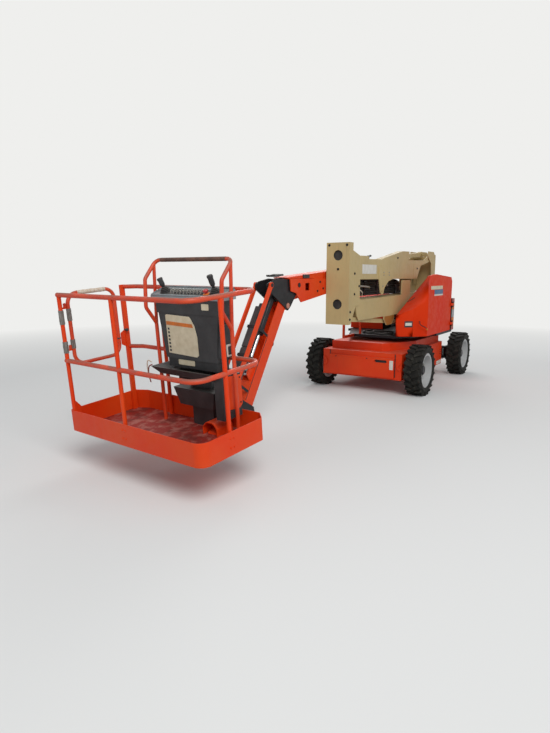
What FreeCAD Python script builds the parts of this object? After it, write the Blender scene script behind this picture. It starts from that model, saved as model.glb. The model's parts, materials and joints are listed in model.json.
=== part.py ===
import FreeCAD, Part
import math
import os

# Articulating boom lift, stowed for parking. Millimetres, +X forward to the platform, +Y to the
# machine's left, +Z up. Everything is laid out from the swing axis on the ground, and the whole
# machine is moved at the end so that its origin is the middle of its box on the ground.

Vec = FreeCAD.Vector
X_DIR = Vec(1, 0, 0)
Y_DIR = Vec(0, 1, 0)
Z_DIR = Vec(0, 0, 1)

# Clearances and fits
FIT = 0.05              # radial gap of a pin in its bore
SEAT = 0.3              # gap between curved faces that seat on each other
SIDE = 0.5              # side gap of an eye or hub between its cheeks
RUN = 6.0               # free gap between pieces that move past each other

# Wheels
TYRE_D = 708.0
TYRE_W = 240.0
LUG_H = 22.0
LUG_COUNT = 22
LUG_TURN = 24.0         # slant of a lug, degrees
RIM_D = 480.0
RIM_SEAT_D = 440.0
RIM_W = 200.0
WHEELBASE = 2010.0
TRACK = 1510.0
HUB_R = 95.0
SPINDLE_R = 34.0
SPINDLE_TIP = 30.0      # spindle end beyond the tyre's middle plane
WHEEL_BOLT_PCD = 275.0
WHEEL_BOLT_R = 10.0
WHEEL_BOLTS = 8

# Chassis
CHASSIS_HALF_W = 600.0
CHASSIS_FRONT = 1295.0
CHASSIS_BOTTOM = 225.0
CHASSIS_TOP = 590.0
WAIST = 560.0           # the wide middle ends here, behind the swing axis
WAIST_END = 690.0
STEER_END_HALF_W = 330.0
STEER_END = 1240.0
DECK_TOP = 700.0
DECK_FRONT = 1130.0
DECK_HALF_W = 540.0
COVER_T = 34.0
COVER_Y = (-480.0, 500.0)
COVER_Z = (250.0, 522.0)
AXLE_BOX = 120.0
KINGPIN_Y = 560.0
KINGPIN_R = 20.0
KNUCKLE_H = 150.0
YOKE_T = 26.0
STEER_ARM = 150.0
TIE_Z = (257.0, 279.0)
TIE_PAD = (75.0, 44.0)  # length along X and width of the tie rod's end pads
TIE_ROD_R = 11.0

# Slewing and turntable
SLEW_R = 330.0
SLEW_RING_W = 60.0
SLEW_TOP = 752.0
TABLE_T = 36.0
TABLE_HALF_W = 730.0
TAIL_R = 960.0
TABLE_FRONT = 900.0
TABLE_BOTTOM = SLEW_TOP + SEAT
TABLE_TOP = TABLE_BOTTOM + TABLE_T
WEIGHT_TOP = 1290.0
WEIGHT_T = 170.0
WEIGHT_HALF_W = 760.0
WEIGHT_FRONT = -445.0
HOOD_HINGE = (-440.0, 772.0)
HOOD_HINGES_Z = (880.0, 1180.0)
HINGE_PIN_R = 6.0

# Tower: the side-by-side plan
TOWER_Y = (60.0, 360.0)
UPRIGHT_T = 10.0
RISER_T = 18.0
BEAM_Y = (TOWER_Y[0] + UPRIGHT_T + RUN, TOWER_Y[1] - UPRIGHT_T - RUN)
TOWER_REAR_X = -560.0
TOWER_FRONT_X = 2240.0
LOWER_REAR_Z = 1110.0
LOWER_FRONT_Z = 1350.0
UPPER_FRONT_Z = 1690.0
UPPER_REAR_Z = 1930.0
LOWER_BEAM_Z = (1101.0, 1357.0)
UPPER_BEAM_Z = (1602.0, 1865.0)
BEAM_WALL = 10.0
PIN_R = 25.0
UPRIGHT_FRONT_X = 2500.0
LINK_H = 56.0
LINK_W = 60.0
LOWER_LINK = (160.0, -220.0)    # link pins from the lower beam's pins
UPPER_LINK = (120.0, 62.0)      # link pins from the upper beam's pins
LOWER_LINK_Y = 285.0
UPPER_LINK_Y = 210.0
UPRIGHT_Z = (1070.0, 2030.0)
UPRIGHT_HOLE_R = 60.0
UPRIGHT_HOLES_Z = (1310.0, 1882.0)

# Main boom
BOOM_Y = -52.0
BOOM_W = 170.0
BOOM_H = 220.0
BOOM_PIN = (-640.0, 1820.0)
BOOM_DROP = 4.3         # nose-down slope of the stowed boom, degrees
BOOM_END = 3160.0       # boom's tube end from its pin
FLY_WALL = 12.0
FLY_TRAVEL = 1300.0
BOOM_WALL = 8.0
NOSE_T = 12.0

# Jib
JIB_PIN = (3318.0, 1325.0)
JIB_DROP = 57.0
JIB_L = 1240.0
JIB_BEAM_H = 150.0
JIB_BEAM_W = 130.0
JIB_BEAM_UP = 86.0      # the beam's middle line lies this far above its pins
JIB_LINK_UP = 415.0     # link pins' distance from the beam's pins
JIB_LINK_H = 44.0
JIB_LINK_W = 22.0
JIB_LINK_Y = 96.0       # each link bar's middle from the boom's middle plane
JIB_LIFT_BASE = (-135.0, 222.0)     # along and above the jib beam's pin line, stowed
JIB_LIFT_TIP = (900.0, 216.0)
BRACKET_PIN = (3120.0, 1545.0)
BRACKET_T = 14.0

# Cylinders: base pin, rod eye pin, lateral place, barrel radius, rod radius, gland from base
LIFT = ((-520.0, 1330.0), (620.0, 1500.0), BOOM_Y, 48.0, 28.0, 880.0)
TOWER_LIFT = ((-330.0, 868.0), (700.0, 990.0), 135.0, 52.0, 30.0, 800.0)
JIB_LIFT_GLAND = 600.0
EYE_W = 64.0

# Platform, in its own level frame: u forward, v left, w up from the pan's underside
PLAT_CENTRE = (5186.0, 17.0)
PLAT_Z = 365.0
PLAT_DROOP = 5.0
PLAT_TURN = -4.4
PLAT_L = 750.0
PLAT_W = 1580.0
TOE_H = 182.0
TOE_T = 5.0
PAN_T = 6.0
TOP_RAIL = 1157.0
MID_RAIL = 610.0
RAIL_R = 19.0
POST_R = 17.0
GATE_R = 16.0
GATE_HINGE = (300.0, -PLAT_W / 2 + 26)
GATE_HINGES_Z = (700.0, 1050.0)
GATE_END = -188.0       # the gate's free side
LATCH_CUT = (55.0, 130.0)       # the rear right corner's slant, along u and v
LATCH_POST = (-306.0, -262.0)   # post behind the gate, along u
CONSOLE_V = 166.0       # middle of the console and of its guard
GUARD_HALF = 430.0
GUARD_R = 16.0
GUARD_SIDE = ((-225, PAN_T), (-225, 870), (-130, 1012), (-150, 1245), (-285, 1390))
GUARD_BEND = 55.0
ROTATOR_R = 120.0
ROTATOR_H = 260.0
ROTATOR_U = -618.0
ROTATOR_V = ((BOOM_Y - PLAT_CENTRE[1] - ROTATOR_U * math.sin(math.radians(PLAT_TURN)))
             / math.cos(math.radians(PLAT_TURN)))

NODES = {}


def add(name, *shapes):
    """Keep a node: one shape, or several solids that don't touch."""
    NODES[name] = shapes[0] if len(shapes) == 1 else Part.makeCompound(list(shapes))


def box(x, y, z):
    """Box from its (low, high) pair along each axis."""
    return Part.makeBox(x[1] - x[0], y[1] - y[0], z[1] - z[0], Vec(x[0], y[0], z[0]))


def rod(start, end, radius):
    """Round bar between two points."""
    start = Vec(*start)
    line = Vec(*end) - start
    return Part.makeCylinder(radius, line.Length, start, line)


def ring(start, end, radius, bore):
    """Round bar with a bore through it."""
    return rod(start, end, radius).cut(rod(start, end, bore))


def fuse(first, *rest):
    """Join solids into one and clean the seams."""
    return first.multiFuse(list(rest)).removeSplitter()


def rounded(points, radii):
    """Closed wire through the points, each corner rounded by its radius."""
    count = len(points)
    if not isinstance(radii, (list, tuple)):
        radii = [radii] * count
    edges = []
    ends = []
    for i, point in enumerate(points):
        before = points[i - 1] - point
        after = points[(i + 1) % count] - point
        if radii[i] <= 0:
            ends.append((point, point))
            continue
        before.normalize()
        after.normalize()
        half = before.getAngle(after) / 2
        reach = radii[i] / math.tan(half)
        middle = before + after
        middle.normalize()
        centre = point + middle * (radii[i] / math.sin(half))
        first = point + before * reach
        last = point + after * reach
        edges.append(Part.Arc(first, centre - middle * radii[i], last).toShape())
        ends.append((first, last))
    for i in range(count):
        start = ends[i][1]
        end = ends[(i + 1) % count][0]
        if (end - start).Length > 1e-6:
            edges.append(Part.LineSegment(start, end).toShape())
    return Part.Wire(Part.__sortEdges__(edges))


PLANES = {
    "xy": (lambda a, b, c: Vec(a, b, c), Z_DIR),
    "xz": (lambda a, b, c: Vec(a, c, b), Y_DIR),
    "yz": (lambda a, b, c: Vec(c, a, b), X_DIR),
}


def prism(plane, points, span, radii=0.0, holes=()):
    """Plate from an outline in a plane, from span[0] to span[1] across it.

    holes are (a, b, radius) in the same plane.
    """
    place, normal = PLANES[plane]
    wire = rounded([place(a, b, span[0]) for a, b in points], radii)
    plate = Part.Face(wire).extrude(normal * (span[1] - span[0]))
    for a, b, radius in holes:
        start = place(a, b, span[0] - 1)
        plate = plate.cut(Part.makeCylinder(radius, span[1] - span[0] + 2, start, normal))
    return plate


def bent_tube(points, radius, bend):
    """Round tube along straight runs joined by arcs of one bend radius."""
    points = [Vec(*p) for p in points]
    edges = []
    start = points[0]
    for before, point, after in zip(points, points[1:], points[2:]):
        back = before - point
        on = after - point
        back.normalize()
        on.normalize()
        half = back.getAngle(on) / 2
        reach = bend / math.tan(half)
        middle = back + on
        middle.normalize()
        centre = point + middle * (bend / math.sin(half))
        first = point + back * reach
        last = point + on * reach
        edges.append(Part.LineSegment(start, first).toShape())
        edges.append(Part.Arc(first, centre - middle * bend, last).toShape())
        start = last
    edges.append(Part.LineSegment(start, points[-1]).toShape())
    path = Part.Wire(edges)
    profile = Part.Wire(Part.makeCircle(radius, points[0], points[1] - points[0]))
    return path.makePipeShell([profile], True, True)


def turned(profile, centre, axis):
    """Solid of revolution about an axis through centre; profile is (radius, along)."""
    points = [Vec(r, 0, a) for r, a in profile]
    face = Part.Face(Part.makePolygon(points + points[:1]))
    solid = face.revolve(Vec(0, 0, 0), Z_DIR, 360)
    turn = FreeCAD.Rotation(Z_DIR, Vec(*axis))
    solid.Placement = FreeCAD.Placement(Vec(*centre), turn)
    return solid


def slab(start, end, height, y, radius=0.0, below=0.5):
    """Beam along the line start to end in the XZ plane; below is the share under the line."""
    line = Vec(end[0] - start[0], 0, end[1] - start[1])
    up = Vec(-line.z, 0, line.x)
    up.normalize()
    low = up * (-height * below)
    high = up * (height * (1 - below))
    a = Vec(start[0], 0, start[1])
    b = a + line
    corners = [a + low, b + low, b + high, a + high]
    return prism("xz", [(c.x, c.z) for c in corners], y, radius)


def along(start, angle, distance, side=0.0):
    """Point in XZ at a distance along a downward angle, and to its upper side."""
    c = math.cos(math.radians(angle))
    s = math.sin(math.radians(angle))
    return (start[0] + distance * c + side * s, start[1] - distance * s + side * c)


def build_chassis():
    half = WHEELBASE / 2
    outline = [
        (CHASSIS_FRONT, -CHASSIS_HALF_W), (CHASSIS_FRONT, CHASSIS_HALF_W),
        (-WAIST, CHASSIS_HALF_W), (-WAIST_END, STEER_END_HALF_W),
        (-STEER_END, STEER_END_HALF_W), (-STEER_END, -STEER_END_HALF_W),
        (-WAIST_END, -STEER_END_HALF_W), (-WAIST, -CHASSIS_HALF_W),
    ]
    body = prism("xy", outline, (CHASSIS_BOTTOM, CHASSIS_TOP))
    deck = [
        (DECK_FRONT, -DECK_HALF_W), (DECK_FRONT, 240), (DECK_FRONT - 90, 330),
        (560, DECK_HALF_W), (-WAIST, DECK_HALF_W), (-STEER_END + 300, STEER_END_HALF_W - 40),
        (-STEER_END + 300, 40 - STEER_END_HALF_W), (-WAIST, -DECK_HALF_W),
    ]
    body = fuse(body, prism("xy", deck, (CHASSIS_TOP, DECK_TOP)))
    for x in (half, -half):
        tunnel = box((x - AXLE_BOX / 2, x + AXLE_BOX / 2), (-700, 700),
                     (TYRE_D / 2 - AXLE_BOX / 2, TYRE_D / 2 + AXLE_BOX / 2))
        body = body.cut(tunnel)
    tie_x = -half + STEER_ARM
    body = body.cut(box((tie_x - 60, tie_x + 60), (-400, 400), (CHASSIS_BOTTOM - 1, TIE_Z[1] + 21)))
    add("chassis", body)
    cover = box((CHASSIS_FRONT, CHASSIS_FRONT + COVER_T), COVER_Y, COVER_Z)
    slot = prism("yz", [(215, 455), (395, 455), (395, 495), (215, 495)],
                 (CHASSIS_FRONT + 8, CHASSIS_FRONT + COVER_T + 1), 19.5)
    add("front_cover", cover.cut(slot))
    add("slew_ring", ring((0, 0, DECK_TOP), (0, 0, SLEW_TOP), SLEW_R + SLEW_RING_W, SLEW_R))


def build_axles():
    half = WHEELBASE / 2
    z = TYRE_D / 2
    flange = TRACK / 2 - TYRE_W / 2 + 10
    tip = TRACK / 2 + SPINDLE_TIP
    beam = box((half - AXLE_BOX / 2, half + AXLE_BOX / 2), (-flange, flange),
               (z - AXLE_BOX / 2, z + AXLE_BOX / 2))
    parts = [beam]
    for side in (1, -1):
        parts.append(rod((half, side * (flange - 40), z), (half, side * (flange + 34), z), HUB_R))
        parts.append(rod((half, side * flange, z), (half, side * tip, z), SPINDLE_R))
    add("drive_axle", fuse(*parts))
    reach = KINGPIN_Y - 62
    beam = box((-half - AXLE_BOX / 2, -half + AXLE_BOX / 2), (-reach, reach),
               (z - AXLE_BOX / 2, z + AXLE_BOX / 2))
    parts = [beam]
    for side in (1, -1):
        for low in (z - KNUCKLE_H / 2 - YOKE_T, z + KNUCKLE_H / 2):
            ear = [(-half - 55, side * (KINGPIN_Y - 110)), (-half + 55, side * (KINGPIN_Y - 110)),
                   (-half + 48, side * (KINGPIN_Y + 48)), (-half - 48, side * (KINGPIN_Y + 48))]
            parts.append(prism("xy", ear, (low, low + YOKE_T), [0, 0, 40, 40],
                               [(-half, side * KINGPIN_Y, KINGPIN_R + FIT)]))
        back = box((-half - 55, -half + 55),
                   sorted((side * (KINGPIN_Y - 110), side * (KINGPIN_Y - 62))),
                   (z - KNUCKLE_H / 2, z + KNUCKLE_H / 2))
        parts.append(back)
    axle = fuse(*parts)
    for side in (1, -1):
        reach = sorted((side * (KINGPIN_Y - 98), side * (KINGPIN_Y - 55)))
        axle = axle.cut(box((-half, -half + 70), reach,
                            (z - KNUCKLE_H / 2 - 6, z - KNUCKLE_H / 2 + 28)))
    add("steer_axle", axle)
    for name, side in (("left", 1), ("right", -1)):
        y = side * KINGPIN_Y
        low = z - KNUCKLE_H / 2 + SIDE
        high = z + KNUCKLE_H / 2 - SIDE
        post = rod((-half, y, low), (-half, y, high), 50)
        pin = rod((-half, y, z - KNUCKLE_H / 2 - YOKE_T - 12),
                  (-half, y, z + KNUCKLE_H / 2 + YOKE_T + 12), KINGPIN_R)
        spindle = rod((-half, y, z), (-half, side * tip, z), SPINDLE_R)
        collar = rod((-half, y, z), (-half, side * (flange + 34), z), 60)
        disc = rod((-half, side * (flange + 6), z), (-half, side * (flange + 34), z), HUB_R)
        arm_y = y - side * 0.22 * STEER_ARM
        arm = [(-half, y - 30), (-half, y + 30), (-half + STEER_ARM, arm_y + 24),
               (-half + STEER_ARM, arm_y - 24)]
        steer_arm = prism("xy", arm, (low, low + 22), [0, 0, 20, 20])
        add("knuckle_" + name, fuse(post, pin, spindle, collar, disc, steer_arm))
    end_y = KINGPIN_Y - 0.22 * STEER_ARM
    tie_x = -half + STEER_ARM
    tie_z = sum(TIE_Z) / 2
    parts = [rod((tie_x, -end_y, tie_z), (tie_x, end_y, tie_z), TIE_ROD_R)]
    for y in (-end_y, end_y):
        pad = [(tie_x - TIE_PAD[0] * 0.6, y - TIE_PAD[1] / 2),
               (tie_x + TIE_PAD[0] * 0.4, y - TIE_PAD[1] / 2),
               (tie_x + TIE_PAD[0] * 0.4, y + TIE_PAD[1] / 2),
               (tie_x - TIE_PAD[0] * 0.6, y + TIE_PAD[1] / 2)]
        parts.append(prism("xy", pad, TIE_Z, 20))
    add("tie_rod", fuse(*parts))


def wheel_pair(name, x, side):
    """A rim and its tyre, standing at x, on the side given by its sign."""
    y = side * TRACK / 2
    z = TYRE_D / 2
    seat = RIM_SEAT_D / 2
    out = RIM_W / 2
    bore = SPINDLE_R + FIT
    disc_in = SPINDLE_TIP - 40
    profile = [
        (bore, disc_in - 60), (HUB_R, disc_in - 60), (HUB_R, disc_in), (seat - 30, disc_in),
        (seat - 24, -out), (RIM_D / 2, -out), (RIM_D / 2, -out + 10), (seat, -out + 16),
        (seat, out - 16), (RIM_D / 2, out - 10), (RIM_D / 2, out), (seat - 10, out),
        (seat - 24, disc_in + 14), (HUB_R, disc_in + 14), (HUB_R - 10, disc_in + 40),
        (bore, disc_in + 40),
    ]
    rim = turned(profile, (x, y, z), (0, side, 0))
    for i in range(WHEEL_BOLTS):
        turn = math.radians(360 / WHEEL_BOLTS * (i + 0.5))
        hx = x + WHEEL_BOLT_PCD / 2 * math.cos(turn)
        hz = z + WHEEL_BOLT_PCD / 2 * math.sin(turn)
        rim = rim.cut(rod((hx, y + side * (disc_in - 5), hz), (hx, y + side * (disc_in + 30), hz),
                          WHEEL_BOLT_R))
    add("rim_" + name, rim)
    inner = seat + SEAT
    base = TYRE_D / 2 - LUG_H
    half = TYRE_W / 2
    wall = out - 16 - SEAT
    section = [
        (inner, -wall), (RIM_D / 2 + SEAT, -wall), (RIM_D / 2 + 8, -half + 8), (base - 40, -half),
        (base, -half + 26), (base, half - 26), (base - 40, half), (RIM_D / 2 + 8, half - 8),
        (RIM_D / 2 + SEAT, wall), (inner, wall),
    ]
    tyre = turned(section, (x, y, z), (0, side, 0))
    lugs = []
    for i in range(LUG_COUNT):
        for row, shift in ((1, 0.0), (-1, 0.5)):
            lug = Part.makeBox(46, half - 2, LUG_H + 14, Vec(-23, 0, base - 14))
            lug.rotate(Vec(0, 0, 0), Z_DIR, LUG_TURN)
            lug = lug.common(box((-400, 400), (2, half - 2), (0, 400)))
            if row < 0:
                lug = lug.mirror(Vec(0, 0, 0), Y_DIR)
            lug.rotate(Vec(0, 0, 0), Y_DIR, 360 / LUG_COUNT * (i + shift))
            lugs.append(lug)
    crown = rod((0, -half, 0), (0, half, 0), TYRE_D / 2)
    tread = fuse(lugs[0], *lugs[1:]).common(crown)
    tread.translate(Vec(x, y, z))
    add("tyre_" + name, tyre.fuse(tread))


def build_wheels():
    half = WHEELBASE / 2
    for name, x, side in (("front_left", half, 1), ("front_right", half, -1),
                          ("rear_left", -half, 1), ("rear_right", -half, -1)):
        wheel_pair(name, x, side)


def tail_plan(radius, half_width, front):
    """Outline of a tail that is round about the swing axis and square at its front."""
    x = -math.sqrt(radius ** 2 - half_width ** 2)
    wire = [
        Part.LineSegment(Vec(x, half_width, 0), Vec(front, half_width, 0)).toShape(),
        Part.LineSegment(Vec(front, half_width, 0), Vec(front, -half_width, 0)).toShape(),
        Part.LineSegment(Vec(front, -half_width, 0), Vec(x, -half_width, 0)).toShape(),
        Part.Arc(Vec(x, -half_width, 0), Vec(-radius, 0, 0), Vec(x, half_width, 0)).toShape(),
    ]
    return Part.Face(Part.Wire(wire))


def build_turntable():
    plate = tail_plan(TAIL_R - 10, TABLE_HALF_W, 200)
    plate.translate(Vec(0, 0, TABLE_BOTTOM))
    plate = plate.extrude(Z_DIR * TABLE_T)
    front = prism("xy", [(190, -TABLE_HALF_W + 60), (TABLE_FRONT, -380), (TABLE_FRONT, 330),
                         (190, TABLE_HALF_W - 60)], (TABLE_BOTTOM, TABLE_TOP), 0)
    boss = rod((0, 0, DECK_TOP + SEAT), (0, 0, TABLE_TOP), SLEW_R - SEAT)
    stop = [box((780, 1245), (-325, -297), (TABLE_BOTTOM, TABLE_TOP)),
            box((1218, 1245), (-325, -297), (TABLE_TOP - 1, TABLE_TOP + 190)),
            box((864, 891), (-225, -197), (TABLE_TOP - 1, TABLE_TOP + 206))]
    parts = [plate, front, boss, *stop]
    for y in (BEAM_Y[0] - RUN - RISER_T, BEAM_Y[1] + RUN):
        ear = [(-700, TABLE_TOP - 1), (-250, TABLE_TOP - 1), (-470, LOWER_REAR_Z + 90),
               (-660, LOWER_REAR_Z + 90)]
        parts.append(prism("xz", ear, (y, y + RISER_T), [0, 0, 60, 60],
                           [(TOWER_REAR_X, LOWER_REAR_Z, PIN_R + FIT)]))
    add("turntable", fuse(*parts))
    solid = tail_plan(TAIL_R, WEIGHT_HALF_W, WEIGHT_FRONT)
    solid.translate(Vec(0, 0, TABLE_TOP))
    solid = solid.extrude(Z_DIR * (WEIGHT_TOP - TABLE_TOP))
    pocket = box((-TAIL_R + WEIGHT_T, 100), (-420, 420), (TABLE_TOP - 1, WEIGHT_TOP + 1))
    weight = solid.cut(pocket)
    for side in (1, -1):
        for height in HOOD_HINGES_Z:
            weight = weight.multiFuse(hinge_lugs(side, height))
    add("counterweight", weight)


def eye(point, y, width, radius, bore=0.0):
    """Disc across Y about a pin, with a bore or without."""
    low = (point[0], y - width / 2, point[1])
    high = (point[0], y + width / 2, point[1])
    if bore:
        return ring(low, high, radius, bore)
    return rod(low, high, radius)


def pin(point, y, radius=PIN_R):
    """Pin across Y from y[0] to y[1]."""
    return rod((point[0], y[0], point[1]), (point[0], y[1], point[1]), radius)


def cylinder(name, base, tip, y, barrel_r, rod_r, gland, inside=130.0):
    """Hydraulic cylinder in an XZ plane: a barrel pinned at its base and its rod.

    gland and inside are the places of the barrel's mouth and the rod's inner end from the base.
    """
    line = Vec(tip[0] - base[0], 0, tip[1] - base[1])
    length = line.Length
    line.normalize()
    start = Vec(base[0], y, base[1])
    barrel = rod(start, start + line * gland, barrel_r)
    collar = rod(start + line * (gland - 50), start + line * gland, barrel_r + 8)
    bore = rod(start + line * 120, start + line * (gland + 1), rod_r + FIT)
    hub = eye(base, y, EYE_W, barrel_r + 2)
    body = fuse(barrel, collar, hub).cut(bore).cut(eye(base, y, 400, PIN_R + FIT))
    add(name + "_barrel", body)
    shaft = rod(start + line * inside, start + line * (length - 20), rod_r)
    add(name + "_rod", fuse(shaft, eye(tip, y, EYE_W, rod_r + 12)))


def link_shape(start, end, y, height, width):
    """Straight link with a bored round eye at each end."""
    bar = slab(start, end, height, (y - width / 2, y + width / 2))
    ends = [eye(p, y, width, height / 2 + 8) for p in (start, end)]
    body = fuse(bar, *ends)
    for p in (start, end):
        body = body.cut(eye(p, y, width + 10, PIN_R - 5 + FIT))
    return body


def hood_leaf(side, height):
    """Hinge leaf of a hood, with its bored knuckle, on the side given by its sign."""
    x, y = HOOD_HINGE
    leaf = box((x, x + 60), sorted((side * 747, side * (y + 7))), (height, height + 40))
    knuckle = rod((x, side * y, height), (x, side * y, height + 40), 13)
    bore = rod((x, side * y, height - 1), (x, side * y, height + 41), HINGE_PIN_R + FIT)
    return leaf.fuse(knuckle).cut(bore)


def hinge_lugs(side, height):
    """Lugs on the counterweight above and below a hood's knuckle, with the hinge's pin."""
    x, y = HOOD_HINGE
    parts = [rod((x, side * y, height - 20), (x, side * y, height + 60), HINGE_PIN_R)]
    for low in (height - 20, height + 40 + SIDE):
        lug = rod((x, side * y, low), (x, side * y, low + 20 - SIDE), 13)
        arm = box((x - 60, x - 2), sorted((side * 750, side * (y + 7))), (low, low + 20 - SIDE))
        parts += [lug, arm]
    return parts


def build_hoods():
    out_y = 750
    outlines = (
        (out_y, [(-436, 795), (-436, 1560), (-380, 1625), (400, 1668), (700, 1645), (755, 1570),
                 (725, 1309), (725, 795)]),
        (600, [(-436, 795), (-436, 1575), (-390, 1640), (60, 1668), (330, 1640), (470, 1540),
               (905, 1185), (900, 795)]),
        (392, [(-436, 795), (-436, 1590), (-400, 1645), (-330, 1645), (-250, 1602), (60, 1484),
               (1040, 1089), (1010, 795)]),
    )
    wires = [Part.makePolygon([Vec(x, y, z) for x, z in points + points[:1]])
             for y, points in outlines]
    hood = Part.makeLoft(wires, True, True)
    cavity = [(-460, 700), (-460, 1520), (-330, 1560), (0, 1440), (400, 1290), (640, 1190), (640, 700)]
    hood = hood.cut(prism("xz", cavity, (387, out_y - 12)))
    leaves = [hood_leaf(1, height) for height in HOOD_HINGES_Z]
    add("hood_left", fuse(hood, *leaves))
    right = prism("xz", [(-436, 795), (-436, 1290), (-330, 1350), (-60, 1350), (60, 1200),
                         (60, 795)], (-750, -190))
    right = right.cut(prism("xz", [(-460, 700), (-460, 1270), (-70, 1325), (40, 1190), (40, 700)],
                            (-738, -180)))
    leaves = [hood_leaf(-1, height) for height in HOOD_HINGES_Z]
    add("hood_right", fuse(right, *leaves))
    add("batteries", box((-420, 330), (400, 700), (TABLE_TOP, 1285)),
        box((-420, 10), (-700, -230), (TABLE_TOP, 1190)))


def tower_brackets():
    """Plates on the lower beam's outer side: the hose plate and a lug below."""
    y = (BEAM_Y[1] - BEAM_WALL, BEAM_Y[1])
    plate = prism("xz", [(346, 1350), (712, 1350), (712, 1585), (346, 1585)], y, [0, 0, 30, 30])
    lug = prism("xz", [(965, 1121), (1353, 1121), (1353, 1060), (1250, 975), (1070, 975),
                       (965, 1060)], y, [0, 0, 12, 30, 30, 12], [(1160, 1030, 25)])
    return [plate, lug]


def stowing_plate():
    """Plate on the upper beam's outer side that comes to rest on the lower beam."""
    outline = [(1590, 1766), (1154, 1766), (1122, 1594), (1250, 1575), (1395, 1480), (1420, 1412),
               (1475, 1397), (1525, 1430), (1577, 1594)]
    return prism("xz", outline, (BEAM_Y[1] - 1, BEAM_Y[1] + UPRIGHT_T),
                 [12, 12, 12, 60, 60, 20, 20, 20, 30], [(1474, 1440, 15)])


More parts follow.
